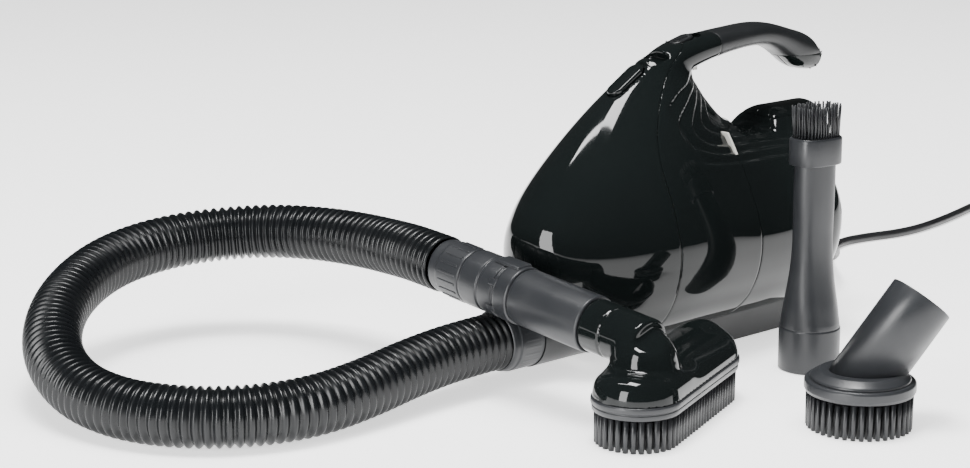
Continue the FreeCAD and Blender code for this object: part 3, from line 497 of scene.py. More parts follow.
# the blower's skin as a field, in millimetres
# along, bottom, top, half width, height of the widest point, swell and ridge of the crest
bodyStations = [
    (-168.6, 87, 87.2, 0.2, 87, 0.55, 0.55), (-168, 82, 92, 5, 87, 0.55, 0.55), (-166, 69, 98, 13, 85, 0.55, 0.55),
    (-162, 54, 105, 21.7, 81, 0.55, 0.55), (-155, 34, 113.5, 31.4, 77, 0.53, 0.52), (-143, 18.5, 127, 42.2, 75, 0.5, 0.48),
    (-125, 12.5, 145, 52.7, 75, 0.46, 0.42), (-100, 12, 168, 61.3, 75, 0.42, 0.34), (-70, 12, 189, 66, 75, 0.36, 0.28),
    (-40.3, 12, 197, 67, 76, 0.3, 0.24), (-25, 12, 192, 67, 76, 0.27, 0.22), (-12, 12, 184, 67, 76, 0.26, 0.21),
    (0, 12, 176, 67, 76.5, 0.26, 0.2), (12, 12, 166, 67, 77, 0.28, 0.22), (25, 12, 155, 67, 78, 0.33, 0.27),
    (38.4, 12, 149, 67, 79, 0.4, 0.33), (51, 12, 148, 67, 80, 0.44, 0.38), (64, 12, 148, 67, 80, 0.46, 0.4),
]
for turn in (18, 34, 49, 62, 73, 81, 90):
    reach = max(math.cos(math.radians(turn)), 0.004)
    bodyStations.append((64 + 32 * math.sin(math.radians(turn)), 80 - 68 * reach, 80 + 68 * reach, 67 * reach, 80, 0.46, 0.4))


def naturalSpline(u, v, q):
    n, h = len(u), np.diff(u)
    a, b = np.zeros((n, n)), np.zeros(n)
    a[0, 0] = a[-1, -1] = 1
    for i in range(1, n - 1):
        a[i, i - 1:i + 2] = h[i - 1], 2 * (h[i - 1] + h[i]), h[i]
        b[i] = 3 * ((v[i + 1] - v[i]) / h[i] - (v[i] - v[i - 1]) / h[i - 1])
    c = np.linalg.solve(a, b)
    slope = np.diff(v) / h - h * (2 * c[:-1] + c[1:]) / 3
    i = np.clip(np.searchsorted(u, q) - 1, 0, n - 2)
    s = q - u[i]
    return v[i] + slope[i] * s + c[i] * s ** 2 + (np.diff(c) / (3 * h))[i] * s ** 3


def radiusTable(countX=620, countA=640):
    st = np.array(bodyStations, float)
    step = np.sqrt(np.diff(st[:, 0]) ** 2 + np.diff(st[:, 2]) ** 2 * 0.5 + np.diff(st[:, 3]) ** 2 + np.diff(st[:, 1]) ** 2 * 0.5)
    u = np.concatenate([[0], np.cumsum(step)])
    q = np.linspace(0, u[-1], 4000)
    dense = np.stack([naturalSpline(u, st[:, k], q) for k in range(7)], 1)
    dense[:, 0] = np.maximum.accumulate(dense[:, 0])
    xs = np.linspace(-168.5, 95.9, countX)
    rows = np.stack([np.interp(xs, dense[:, 0], dense[:, k]) for k in range(7)], 1)
    angles = np.linspace(-math.pi / 2, math.pi / 2, countA + 1)
    table = np.zeros((countX, countA + 1))
    t = np.linspace(0, 1, 60)
    a, b, c, d = (1 - t) ** 3, 3 * t * (1 - t) ** 2, 3 * t * t * (1 - t), t ** 3
    for i, (_, low, top, wide, mid, swell, ridge) in enumerate(rows):
        up = np.stack([wide * (a + b + c * ridge), (top - mid) * (b * swell + c + d)], 1)
        down = np.stack([wide * (a + b + c * 0.62), -(mid - low) * (b * 0.55 + c + d)], 1)
        loop = np.concatenate([down[::-1], up[1:]])
        table[i] = np.interp(angles, np.arctan2(loop[:, 1], loop[:, 0]), np.hypot(loop[:, 0], loop[:, 1]))
    return xs, rows[:, 4], table


skinX, skinMid, skinRadius = radiusTable()


def bodyField(x, y, z):
    nx, na = len(skinX), skinRadius.shape[1] - 1
    i = np.clip((x - skinX[0]) / (skinX[-1] - skinX[0]) * (nx - 1), 0, nx - 1.001)
    i0 = i.astype(int)
    fi = i - i0
    dz, ay = z - np.interp(x, skinX, skinMid), np.abs(y)
    j = np.clip((np.arctan2(dz, ay) / math.pi + 0.5) * na, 0, na - 0.001)
    j0 = j.astype(int)
    fj = j - j0
    r = (skinRadius[i0, j0] * (1 - fi) + skinRadius[i0 + 1, j0] * fi) * (1 - fj) \
        + (skinRadius[i0, j0 + 1] * (1 - fi) + skinRadius[i0 + 1, j0 + 1] * fi) * fj
    f = np.hypot(ay, dz) - r
    f = np.where(x < skinX[0], np.maximum(f, skinX[0] - x), f)
    return np.where(x > skinX[-1], np.maximum(f, x - skinX[-1]), f)


def smoothMin(a, b, k):
    h = np.clip(0.5 + 0.5 * (b - a) / k, 0, 1)
    return b + (a - b) * h - k * h * (1 - h)


def smoothMax(a, b, k):
    return -smoothMin(-a, -b, k)


def smoothStep(v, low, high):
    t = np.clip((v - low) / (high - low), 0, 1)
    return t * t * (3 - 2 * t)


# x, height, half width, half thickness of the hooked bar
handleStations = np.array([
    (-52, 184, 13, 11), (-34, 192.5, 13.6, 11.3), (-4, 199.5, 13.5, 9.5), (28, 203, 13.5, 8),
    (58, 202.5, 14, 8.2), (80, 195, 15, 10.2), (97, 186.5, 15.6, 12), (107, 181, 13.6, 8.5),
], float)
handleStep = np.hypot(np.diff(handleStations[:, 0]), np.diff(handleStations[:, 1]))
handleU = np.concatenate([[0], np.cumsum(handleStep)])
handleFine = np.linspace(0, handleU[-1], 420)
handleLine = np.stack([naturalSpline(handleU, handleStations[:, k], handleFine) for k in range(4)], 1)
handleAhead = np.gradient(handleLine[:, :2], axis=0)
handleAhead /= np.linalg.norm(handleAhead, axis=1)[:, None]


def handleField(x, y, z):
    shape = x.shape
    x, y, z = x.ravel(), y.ravel(), z.ravel()
    out = np.full(x.shape, 60.0)
    near = np.where((x > -75) & (x < 125) & (z > 150) & (np.abs(y) < 34))[0]
    for start in range(0, len(near), 60000):
        pick = near[start:start + 60000]
        px, pz = x[pick], z[pick]
        best = np.argmin((px[:, None] - handleLine[None, :, 0]) ** 2 + (pz[:, None] - handleLine[None, :, 1]) ** 2, axis=1)
        line, ahead = handleLine[best], handleAhead[best]
        dx, dz = px - line[:, 0], pz - line[:, 1]
        along = dx * ahead[:, 0] + dz * ahead[:, 1]
        up = -dx * ahead[:, 1] + dz * ahead[:, 0]
        e = 2 / 0.85
        ring = ((np.abs(y[pick]) / line[:, 2]) ** e + (np.abs(up) / line[:, 3]) ** e + 1e-12) ** (1 / e)
        value = (ring - 1) * np.minimum(line[:, 2], line[:, 3])
        atEnd = best >= len(handleLine) - 2
        atStart = best <= 1
        past = np.where(atEnd, along, np.where(atStart, -along, -50))
        out[pick] = np.where(past > -6, smoothMax(value, past, 4.0), value)
    return out.reshape(shape)


# stepped ledges around the hand opening, each an outline in x and height
ledges = {
    "outlines": [
        [(-31, 183), (-50, 176), (-69, 164.5), (-78, 153), (-76.5, 144.5), (-70, 138.5), (-60, 133.5), (-30, 128.5), (8, 125.5), (44, 124.5), (82, 124)],
        [(-24, 180), (-38, 173), (-55, 162.5), (-62, 154), (-60, 146), (-46, 138.5), (-24, 133.5), (12, 130.5), (48, 129), (82, 128.5)],
        [(-20, 178), (-28, 171), (-41, 161.5), (-47, 153.5), (-43, 145.5), (-29, 139.5), (0, 136), (48, 132.8), (82, 132.5)],
        [(-15, 176), (-20, 169), (-30, 160.5), (-33, 153), (-25, 147), (-8, 142.5), (14, 139.5), (50, 136.5), (82, 136.5)],
        [(-11, 174), (-13, 167), (-19, 159.5), (-18, 153), (-6, 147.5), (14, 143.5), (50, 140.2), (82, 140.2)],
    ],
    "depth": 1.9, "ramp": 1.5,
}


def smoothLoop(points, steps=10):
    # a closed Catmull-Rom line through the points
    p = np.array(points, float)
    a, b, c, d = np.roll(p, 1, 0), p, np.roll(p, -1, 0), np.roll(p, -2, 0)
    out = []
    for k in range(steps):
        t = k / steps
        out.append(0.5 * (2 * b + (c - a) * t + (2 * a - 5 * b + 4 * c - d) * t * t + (3 * b - a - 3 * c + d) * t ** 3))
    return np.stack(out, 1).reshape(-1, 2)


def outlineDistance(points, gx, gz):
    best = np.full(gx.shape, 1e9)
    inside = np.zeros(gx.shape, bool)
    for (ax, az), (bx, bz) in zip(points, np.roll(points, -1, axis=0)):
        ex, ez = bx - ax, bz - az
        t = np.clip(((gx - ax) * ex + (gz - az) * ez) / (ex * ex + ez * ez + 1e-12), 0, 1)
        best = np.minimum(best, np.hypot(gx - ax - t * ex, gz - az - t * ez))
        hit = ((az > gz) != (bz > gz)) & (gx < ex * (gz - az) / (ez if abs(ez) > 1e-12 else 1e-12) + ax)
        inside ^= hit
    return np.where(inside, -best, best)


ledgeX, ledgeZ = np.arange(-100, 101, 0.5), np.arange(110, 221, 0.5)
ledgeGx, ledgeGz = np.meshgrid(ledgeX, ledgeZ, indexing="ij")
ledgeDepth = np.zeros(ledgeGx.shape)
for outline in ledges["outlines"]:
    closed = outline + [(100, 150), (100, 205), (40, 225), (-5, 200)]
    away = outlineDistance(smoothLoop(closed), ledgeGx, ledgeGz)
    ledgeDepth += ledges["depth"] * smoothStep(-away, 0, ledges["ramp"])
ledgeDepth *= 1 - smoothStep(ledgeGx, 52, 72)


def ledgeRecess(x, z):
    i = np.clip((x - ledgeX[0]) / 0.5, 0, len(ledgeX) - 1.001)
    j = np.clip((z - ledgeZ[0]) / 0.5, 0, len(ledgeZ) - 1.001)
    i0, j0 = i.astype(int), j.astype(int)
    fi, fj = i - i0, j - j0
    d = ledgeDepth
    return (d[i0, j0] * (1 - fi) + d[i0 + 1, j0] * fi) * (1 - fj) + (d[i0, j0 + 1] * (1 - fi) + d[i0 + 1, j0 + 1] * fi) * fj


def tilted(x, z, at, angle):
    c, s = math.cos(math.radians(angle)), math.sin(math.radians(angle))
    dx, dz = x - at[0], z - at[1]
    return dx * c + dz * s, -dx * s + dz * c


def stadiumField(u, v, length, width):
    half = length / 2 - width / 2
    return np.hypot(np.maximum(np.abs(u) - half, 0), v) - width / 2


opening = {"at": (17.5, 173), "radius": 24}
button = {"at": (-76, 184.5), "slope": 31, "length": 32, "width": 12, "gap": 0.4, "rim": 3.2, "rimDepth": 1.5}
slider = {"at": (-22.5, 202.6), "slope": 14, "length": 19, "width": 11, "travel": 7, "bezel": 3.2, "lift": 1.5}


holes = {
    "port": (29, 22.0), "outlet": (127, 18.2, 84), "lead": (42, 6.3), "slots": (8, 1.6, 74, 22),
    "screws": [(-70, 21.5, 35), (-25, 26, 40), (-30, 168, 24), (-74, 128, 48)], "well": 3.3,
    "capScrews": [(72, 34, 42), (72, 34, 116)],
    "vents": [28, 36, 44],
}


def cutHoles(f, x, y, z, ax):
    f = smoothMax(f, -np.maximum(np.hypot(y, z - holes["port"][0]) - holes["port"][1], x + 111.5), 0.6)
    outletZ, outletR, outletX = holes["outlet"]
    f = smoothMax(f, -np.maximum(np.hypot(y, z - outletZ) - outletR, outletX - x), 1.0)
    f = smoothMax(f, -np.maximum(np.hypot(y, z - holes["lead"][0]) - holes["lead"][1], 60 - x), 0.6)
    pitch, half, mid, tall = holes["slots"]
    slotY = np.abs(y - pitch * np.clip(np.round(y / pitch), -3, 3))
    slot = np.maximum(np.hypot(slotY, np.maximum(np.abs(z - mid) - tall + half, 0)) - half, 70 - x)
    f = smoothMax(f, -slot, 0.6)
    for sx, sz, sy in holes["screws"]:
        f = smoothMax(f, -np.maximum(np.hypot(x - sx, z - sz) - holes["well"], sy - 9.6 - y), 0.5)
    for sx, sy, sz in holes["capScrews"]:
        f = smoothMax(f, -np.maximum(np.hypot(ax - sy, z - sz) - holes["well"], sx + 2.4 - x), 0.5)
    for vx in holes["vents"]:
        slot = np.maximum(stadiumField(ax - 15.5, x - vx, 10, 3.0), np.maximum(138 - z, z - 160))
        f = smoothMax(f, -np.maximum(slot, -(f + 2.6)), 0.5)
    return f


def skinField(x, y, z):
    ax = np.abs(y)
    body = bodyField(x, y, z)
    hole = np.hypot(x - opening["at"][0], z - opening["at"][1]) - opening["radius"]
    body = body + ledgeRecess(x, z) * smoothStep(-(hole - 60), 0, 8)
    outlet = np.hypot(y, z - 127) - 25.5
    outlet = smoothMax(outlet, x - 106, 2.5)
    outlet = smoothMax(outlet, (52 - x) * 0.8 + (z - 140) * 0.45, 6)
    body = smoothMin(body, outlet, 5)
    body = smoothMax(body, -hole, 3.2)
    f = smoothMin(body, handleField(x, y, z), 7)
    # raised bezel round the thumb slide, and its well
    u, up = tilted(x, z, (slider["at"][0] + 2, slider["at"][1] - 3), slider["slope"])
    rim = stadiumField(u, y, slider["length"] + slider["travel"] + 2 * slider["bezel"], slider["width"] + 2 * slider["bezel"])
    f = smoothMin(f, smoothMax(rim, np.abs(up + 2) - 7.4, 1.6), 1.6)
    u, up = tilted(x, z, slider["at"], slider["slope"])
    well = stadiumField(u - slider["travel"] / 2, y, slider["length"] + slider["travel"] + 0.8, slider["width"] + 0.8)
    f = smoothMax(f, -np.maximum(well, -0.6 - up), 0.8)
    # the button's recessed rim, the well below it, and the catch notch behind it
    u, up = tilted(x, z, button["at"], button["slope"])
    rim = stadiumField(u, y, button["length"] + 2 * button["rim"], button["width"] + 2 * button["rim"])
    f = smoothMax(f, -smoothMax(rim, -(up + button["rimDepth"]), 0.8), 0.9)
    well = stadiumField(u, y, button["length"] + 2 * button["gap"], button["width"] + 2 * button["gap"])
    f = np.maximum(f, -np.maximum(well, -(up + 7)))
    u, up = tilted(x, z, (-49.5, 198), 20)
    notch = smoothMax(smoothMax(np.abs(u) - 5.5, ax - 9.5, 2), -(up + 5.5), 1.5)
    f = smoothMax(f, -notch, 1.2)
    return cutHoles(f, x, y, z, ax)


print("field ready")


def surfaceNet(field, low, high, step):
    axes = [np.arange(a, b + step, step) for a, b in zip(low, high)]
    gx, gy, gz = np.meshgrid(*axes, indexing="ij")
    v = field(gx, gy, gz)
    inside = v < 0
    nx, ny, nz = v.shape
    total = np.zeros((nx - 1, ny - 1, nz - 1, 3))
    count = np.zeros((nx - 1, ny - 1, nz - 1))
    grids = (gx, gy, gz)
    for axis in range(3):
        for s in (0, 1):
            for t in (0, 1):
                cut = [slice(None, -1)] * 3
                others = [k for k in range(3) if k != axis]
                cut[others[0]] = slice(s, s + v.shape[others[0]] - 1)
                cut[others[1]] = slice(t, t + v.shape[others[1]] - 1)
                ahead = list(cut)
                ahead[axis] = slice(1, None)
                a, b = v[tuple(cut)], v[tuple(ahead)]
                cross = (a < 0) != (b < 0)
                w = np.where(cross, a / np.where(cross, a - b, 1), 0)
                for k in range(3):
                    p = grids[k][tuple(cut)] + (w * step if k == axis else 0)
                    total[..., k] += np.where(cross, p, 0)
                count += cross
    active = count > 0
    index = np.full(count.shape, -1)
    index[active] = np.arange(active.sum())
    verts = total[active] / count[active][:, None]
    faces = []
    for axis in range(3):
        cut, ahead = [slice(1, -1)] * 3, [slice(1, -1)] * 3
        cut[axis], ahead[axis] = slice(None, -1), slice(1, None)
        a, b = inside[tuple(cut)], inside[tuple(ahead)]
        cross = np.argwhere(a != b)
        if not len(cross):
            continue
        flip = a[tuple(cross.T)]
        base = cross.copy()
        others = [(axis + 1) % 3, (axis + 2) % 3]
        for k in range(3):
            if k != axis:
                base[:, k] += 1
        corners = []
        for du, dv in ((0, 0), (1, 0), (1, 1), (0, 1)):
            c = base.copy()
            c[:, others[0]] -= 1 - du
            c[:, others[1]] -= 1 - dv
            corners.append(index[tuple(c.T)])
        quad = np.stack(corners, 1)
        quad[~flip] = quad[~flip][:, ::-1]
        faces.append(quad)
    return verts, np.concatenate(faces)


def fieldNormal(field, p, h=0.25):
    g = np.zeros(p.shape)
    for k in range(3):
        q1, q2 = p.copy(), p.copy()
        q1[:, k] += h
        q2[:, k] -= h
        g[:, k] = (field(*q1.T) - field(*q2.T)) / (2 * h)
    return g


def settle(field, p, rounds=4, limit=0.8):
    for _ in range(rounds):
        g = fieldNormal(field, p, 0.12)
        size = np.maximum((g ** 2).sum(1), 0.05)
        move = -(field(*p.T) / size)[:, None] * g
        length = np.linalg.norm(move, axis=1)[:, None]
        p = p + move * np.minimum(1, limit / np.maximum(length, 1e-9))
    return p


def clipMesh(verts, faces, values, keepBelow=True):
    # triangles are cut along the zero line of values; the side below it stays
    sign = 1 if keepBelow else -1
    val = values * sign
    state = val[faces] < 0
    n = state.sum(1)
    kept = [faces[n == 3]]
    newVerts, cache = [verts], {}
    extra = []
    base = len(verts)

    def between(a, b):
        key = (a, b) if a < b else (b, a)
        if key not in cache:
            t = val[key[0]] / (val[key[0]] - val[key[1]])
            extra.append(verts[key[0]] * (1 - t) + verts[key[1]] * t)
            cache[key] = base + len(extra) - 1
        return cache[key]

    out = []
    for tri, st in zip(faces[n == 1], state[n == 1]):
        k = int(np.argmax(st))
        a, b, c = tri[k], tri[(k + 1) % 3], tri[(k + 2) % 3]
        out.append((a, between(a, b), between(a, c)))
    for tri, st in zip(faces[n == 2], state[n == 2]):
        k = int(np.argmin(st))
        a, b, c = tri[k], tri[(k + 1) % 3], tri[(k + 2) % 3]
        ab, ac = between(a, b), between(a, c)
        out += [(ab, b, c), (ab, c, ac)]
    if out:
        kept.append(np.array(out))
    if extra:
        newVerts.append(np.array(extra))
    faces = np.concatenate(kept)
    verts = np.concatenate(newVerts)
    used, inverse = np.unique(faces, return_inverse=True)
    return verts[used], inverse.reshape(faces.shape)


def seamNose(p):
    x, z = p[:, 0], p[:, 2]
    lean = -87 + 54.5 * (np.maximum(z - 125, 0) / 77) ** 2
    return x - lean


def seamRing(p):
    # below zero in front of the rear cap, above zero in it
    lowPart = np.minimum(p[:, 0] + 12, 146 - p[:, 2])
    return lowPart


netStep = 1.25
skinVerts, skinQuads = surfaceNet(skinField, (-172, -70, 8), (112, 70, 216), netStep)
print("net", len(skinVerts))
skinVerts = settle(skinField, skinVerts)
skinTris = np.concatenate([skinQuads[:, [0, 1, 2]], skinQuads[:, [0, 2, 3]]])
print("skin", len(skinVerts), len(skinTris))


def shellPiece(name, cuts, body, slot, nodes, wall=2.0):
    # cuts are (value function, keep below) pairs; the cut skin is thickened inwards
    verts, faces = skinVerts, skinTris
    for value, below, gap in cuts:
        v = value(verts)
        verts, faces = clipMesh(verts, faces, v + (gap if below else -gap), below)
    rim = np.full(len(verts), 9.0)
    for value, below, gap in cuts:
        v = np.abs(value(verts)) - gap
        rim = np.minimum(rim, v)
    drop = 0.25 * (1 - smoothStep(rim, 0.0, 0.8)) ** 2
    normals = fieldNormal(skinField, verts)
    normals /= np.maximum(np.linalg.norm(normals, axis=1), 1e-9)[:, None]
    verts = verts - normals * drop[:, None]
    obj = meshObject(name, verts * mm, faces)
    bm = bmesh.new()
    bm.from_mesh(obj.data)
    bmesh.ops.remove_doubles(bm, verts=bm.verts, dist=0.00004)
    bmesh.ops.dissolve_degenerate(bm, edges=bm.edges, dist=0.00003)
    bm.to_mesh(obj.data)
    bm.free()
    thick = obj.modifiers.new("wall", "SOLIDIFY")
    thick.thickness = wall * mm
    thick.offset = -1
    obj.vertex_groups.new(name="innerWall")
    thick.shell_vertex_group = "innerWall"
    thin = obj.modifiers.new("innerFaces", "DECIMATE")
    thin.ratio = 0.78
    thin.vertex_group = "innerWall"
    bakeModifiers(obj)
    markSharp(obj, 50)
    print(name, len(obj.data.polygons))
    return finishPiece(obj, body, slot, *nodes, material=mats[slot])


sideY = lambda p: p[:, 1]
gripSeam = lambda p: np.minimum(p[:, 0] - 3, p[:, 2] - 186)
seamGap = 0.11
shellPiece("noseShell", [(seamNose, True, seamGap)], "front_cover", "gloss_black", ["front_shell"])
for name, left in (("housingNear", True), ("housingFar", False)):
    shellPiece(name, [(seamNose, False, seamGap), (seamRing, True, seamGap), (gripSeam, True, seamGap), (sideY, left, 0.03)],
               "housing", "gloss_black", ["housing_left" if left else "housing_right"])
shellPiece("rearCap", [(seamRing, False, seamGap)], "housing", "gloss_black", ["rear_cap"])
shellPiece("gripSleeve", [(gripSeam, False, seamGap)], "housing", "satin_black", ["handle_grip"], wall=1.4)
print("shells ready")

# round pieces turned on the hose's and the wand's own axes
wandStart, wandWay = Vector((-197.6, 39, 73)) * mm, Vector((0.0347, -0.9937, -0.1069)).normalized()
wandPlace = axisMatrix(wandStart, wandWay)
wand = {"cuff": (0.3, 28.8), "collar": (28.8, 60.6), "lock": (60.6, 72.8), "sleeve": (72.8, 132.5), "bore": 14.4,
        "ribs": 18, "ribHeight": 0.55, "tabWidth": 13, "tabRise": 3.0}


def tubeOutline(outer, bore, low, high, round_=0.7):
    return roundedProfile([(low, bore), (high, bore), (high, outer), (low, outer)], round_)


def turned(name, points, place, soften=0.6, segments=112):
    profile = [(a * mm, r * mm) for a, r in roundedProfile(points, soften)]
    return lathe(name, profile, place, segments)


bore = wand["bore"]
cuffPiece = turned("hoseCuff", [
    (0.3, bore), (28.7, bore), (28.7, 17.6), (27.2, 17.95), (9.0, 17.95), (7.6, 17.3), (2.2, 17.3), (0.3, 16.6),
], wandPlace)
ribTree, ribStart, ribEnd = newGroup(
    "lengthwiseRibs",
    [("Geometry", "NodeSocketGeometry", None), ("Count", "NodeSocketInt", 18), ("Height", "NodeSocketFloat", 0.0005),
     ("Low", "NodeSocketFloat", 0.0), ("High", "NodeSocketFloat", 0.03), ("Material", "NodeSocketMaterial", None)],
    [("Geometry", "NodeSocketGeometry")], "GeometryNodeTree",
)


def buildRibs():
    # slim raised bars set round a circle, along local Z
    tree, link = ribTree, ribTree.links.new
    circle = tree.nodes.new("GeometryNodeMeshCircle")
    circle.inputs["Radius"].default_value = 0.01755
    link(ribStart.outputs["Count"], circle.inputs["Vertices"])
    bar = tree.nodes.new("GeometryNodeMeshCube")
    size = tree.nodes.new("ShaderNodeCombineXYZ")
    span = tree.nodes.new("ShaderNodeMath")
    span.operation = "SUBTRACT"
    link(ribStart.outputs["High"], span.inputs[0])
    link(ribStart.outputs["Low"], span.inputs[1])
    size.inputs["Y"].default_value = 0.0016
    grow = tree.nodes.new("ShaderNodeMath")
    grow.operation = "MULTIPLY_ADD"
    grow.inputs[1].default_value = 2.0
    grow.inputs[2].default_value = 0.0006
    link(ribStart.outputs["Height"], grow.inputs[0])
    link(grow.outputs[0], size.inputs["X"])
    link(span.outputs[0], size.inputs["Z"])
    link(size.outputs["Vector"], bar.inputs["Size"])
    place = tree.nodes.new("GeometryNodeInstanceOnPoints")
    align = tree.nodes.new("FunctionNodeAlignEulerToVector")
    align.axis = "X"
    position = tree.nodes.new("GeometryNodeInputPosition")
    link(position.outputs[0], align.inputs["Vector"])
    link(circle.outputs["Mesh"], place.inputs["Points"])
    link(bar.outputs["Mesh"], place.inputs["Instance"])
    link(align.outputs["Rotation"], place.inputs["Rotation"])
    lift = tree.nodes.new("GeometryNodeTranslateInstances")
    middle = tree.nodes.new("ShaderNodeMath")
    middle.operation = "ADD"
    half = tree.nodes.new("ShaderNodeMath")
    half.operation = "MULTIPLY"
    half.inputs[1].default_value = 0.5
    link(ribStart.outputs["Low"], middle.inputs[0])
    link(ribStart.outputs["High"], middle.inputs[1])
    link(middle.outputs[0], half.inputs[0])
    shift = tree.nodes.new("ShaderNodeCombineXYZ")
    link(half.outputs[0], shift.inputs["Z"])
    lift.inputs["Local Space"].default_value = True
    link(place.outputs["Instances"], lift.inputs["Instances"])
    link(shift.outputs["Vector"], lift.inputs["Translation"])
    realize = tree.nodes.new("GeometryNodeRealizeInstances")
    paint = tree.nodes.new("GeometryNodeSetMaterial")
    link(lift.outputs["Instances"], realize.inputs["Geometry"])
    link(realize.outputs["Geometry"], paint.inputs["Geometry"])
    link(ribStart.outputs["Material"], paint.inputs["Material"])
    link(paint.outputs["Geometry"], ribEnd.inputs["Geometry"])


buildRibs()


def ribsOn(name, place, count, low, high, height, material):
    seed = meshObject(name, [(0, 0, 0)], [])
    applyTree(seed, ribTree, {"Count": count, "Height": height * mm, "Low": low * mm, "High": high * mm, "Material": material})
    seed.data.transform(place)
    bevel = seed.modifiers.new("edge", "BEVEL")
    bevel.width = 0.0003
    bevel.segments = 2
    bakeModifiers(seed)
    return seed


cuffRibs = ribsOn("cuffRibs", wandPlace, wand["ribs"], 11, 26, wand["ribHeight"], mats["charcoal"])
hoseCuff = joinMeshes("hoseCuff", [cuffPiece, cuffRibs], mats["charcoal"])
finishPiece(hoseCuff, "hose_assembly", "charcoal", "hose_cuff", material=mats["charcoal"])
collarPiece = turned("collarRing", [
    (28.85, bore), (60.5, bore), (60.5, 17.5), (58.4, 17.5), (58.4, 18.25), (47.6, 18.25), (47.0, 17.6), (45.6, 17.6),
    (45.0, 18.25), (30.6, 18.25), (30.0, 17.6), (28.85, 17.6),
], wandPlace, 0.45)
finishPiece(collarPiece, "hose_assembly", "charcoal", "collar_ring", material=mats["charcoal"])


def boxOnWand(name, low, high, turn, width, base, top, soften=0.8):
    # a small rounded block standing on the wand at an angle round its axis
    c, s = math.cos(math.radians(turn)), math.sin(math.radians(turn))
    verts = []
    for a in (low, high):
        for across, r in ((-width / 2, base), (width / 2, base), (width / 2, top), (-width / 2, top)):
            x, y = r * c - across * s, r * s + across * c
            verts.append(wandPlace @ Vector((x * mm, y * mm, a * mm)))
    obj = meshObject(name, verts, [(0, 1, 2, 3), (7, 6, 5, 4), (0, 4, 5, 1), (1, 5, 6, 2), (2, 6, 7, 3), (3, 7, 4, 0)])
    bm = bmesh.new()
    bm.from_mesh(obj.data)
    bmesh.ops.recalc_face_normals(bm, faces=bm.faces)
    bm.to_mesh(obj.data)
    bm.free()
    bevel = obj.modifiers.new("edge", "BEVEL")
    bevel.width = soften * mm
    bevel.segments = 4
    return bakeModifiers(obj)


lockRing = turned("lockRing", [
    (60.65, bore), (72.7, bore), (72.7, 17.9), (71.8, 18.55), (62.0, 18.55), (60.65, 17.7),
], wandPlace, 0.5)
lockTab = boxOnWand("lockTab", 49.5, 70.5, 0, wand["tabWidth"], 16.5, 18.6 + wand["tabRise"] - 2.2, 1.4)
lockKeys = [boxOnWand("lockKey", 55.5, 61.8, turn, 4.2, 16.5, 18.55, 0.5) for turn in (62, 118, -62, -118, 180)]
lockPiece = joinMeshes("lockRing", [lockRing, lockTab] + lockKeys, mats["charcoal"])
finishPiece(lockPiece, "hose_assembly", "charcoal", "lock_ring", material=mats["charcoal"])
sleevePiece = turned("wandSleeve", [
    (72.85, bore), (132.4, bore), (132.4, 17.2), (131.6, 17.95), (74.6, 17.95), (73.8, 17.4), (72.85, 17.4),
], wandPlace, 0.5)
finishPiece(sleevePiece, "hose_assembly", "charcoal", "wand_sleeve", material=mats["charcoal"])

inletPlace = axisMatrix((-0.192, 0, 0.029), (1, 0, 0))
blowerCuff = turned("blowerCuff", [
    (0.2, 18.5), (16, 18.5), (16, 15.0), (68, 15.0), (68, 17.6), (67, 17.95), (26.3, 17.95), (26.3, 20.4), (25.6, 20.95),
    (6.6, 20.95), (5.6, 20.2), (3.0, 20.2), (0.9, 19.6),
], inletPlace)
gripRibs = ribsOn("gripRibs", inletPlace @ Matrix.Diagonal((1.155, 1.155, 1, 1)), 26, 9, 23, 0.35, mats["charcoal"])
blowerCuff = joinMeshes("blowerCuff", [blowerCuff, gripRibs], mats["charcoal"])
finishPiece(blowerCuff, "hose_assembly", "charcoal", "blower_cuff", material=mats["charcoal"])
print("wand ready")

# upholstery brush: a glossy cover with a round turret, on a satin base with tufts
head = {"middle": (-160.9, -122.2), "turn": 22, "long": 151.2, "wide": 55, "baseLow": 20, "baseHigh": 28, "inset": 2.5,
        "dome": (-193, -134, 44.5), "domeRadius": 20, "neck": 16.6, "spigot": 14.2, "airway": 12.0, "tuftSpacing": 4.7}
headTurn = math.radians(head["turn"])


def headLocal(x, y):
    dx, dy = x - head["middle"][0], y - head["middle"][1]
    return dx * math.cos(headTurn) + dy * math.sin(headTurn), -dx * math.sin(headTurn) + dy * math.cos(headTurn)


def wandLocal(x, y, z):
    p = [x - wandStart.x / mm, y - wandStart.y / mm, z - wandStart.z / mm]
    along = p[0] * wandWay.x + p[1] * wandWay.y + p[2] * wandWay.z
    off = np.sqrt(np.maximum((p[0] - along * wandWay.x) ** 2 + (p[1] - along * wandWay.y) ** 2 + (p[2] - along * wandWay.z) ** 2, 0))
    return along, off


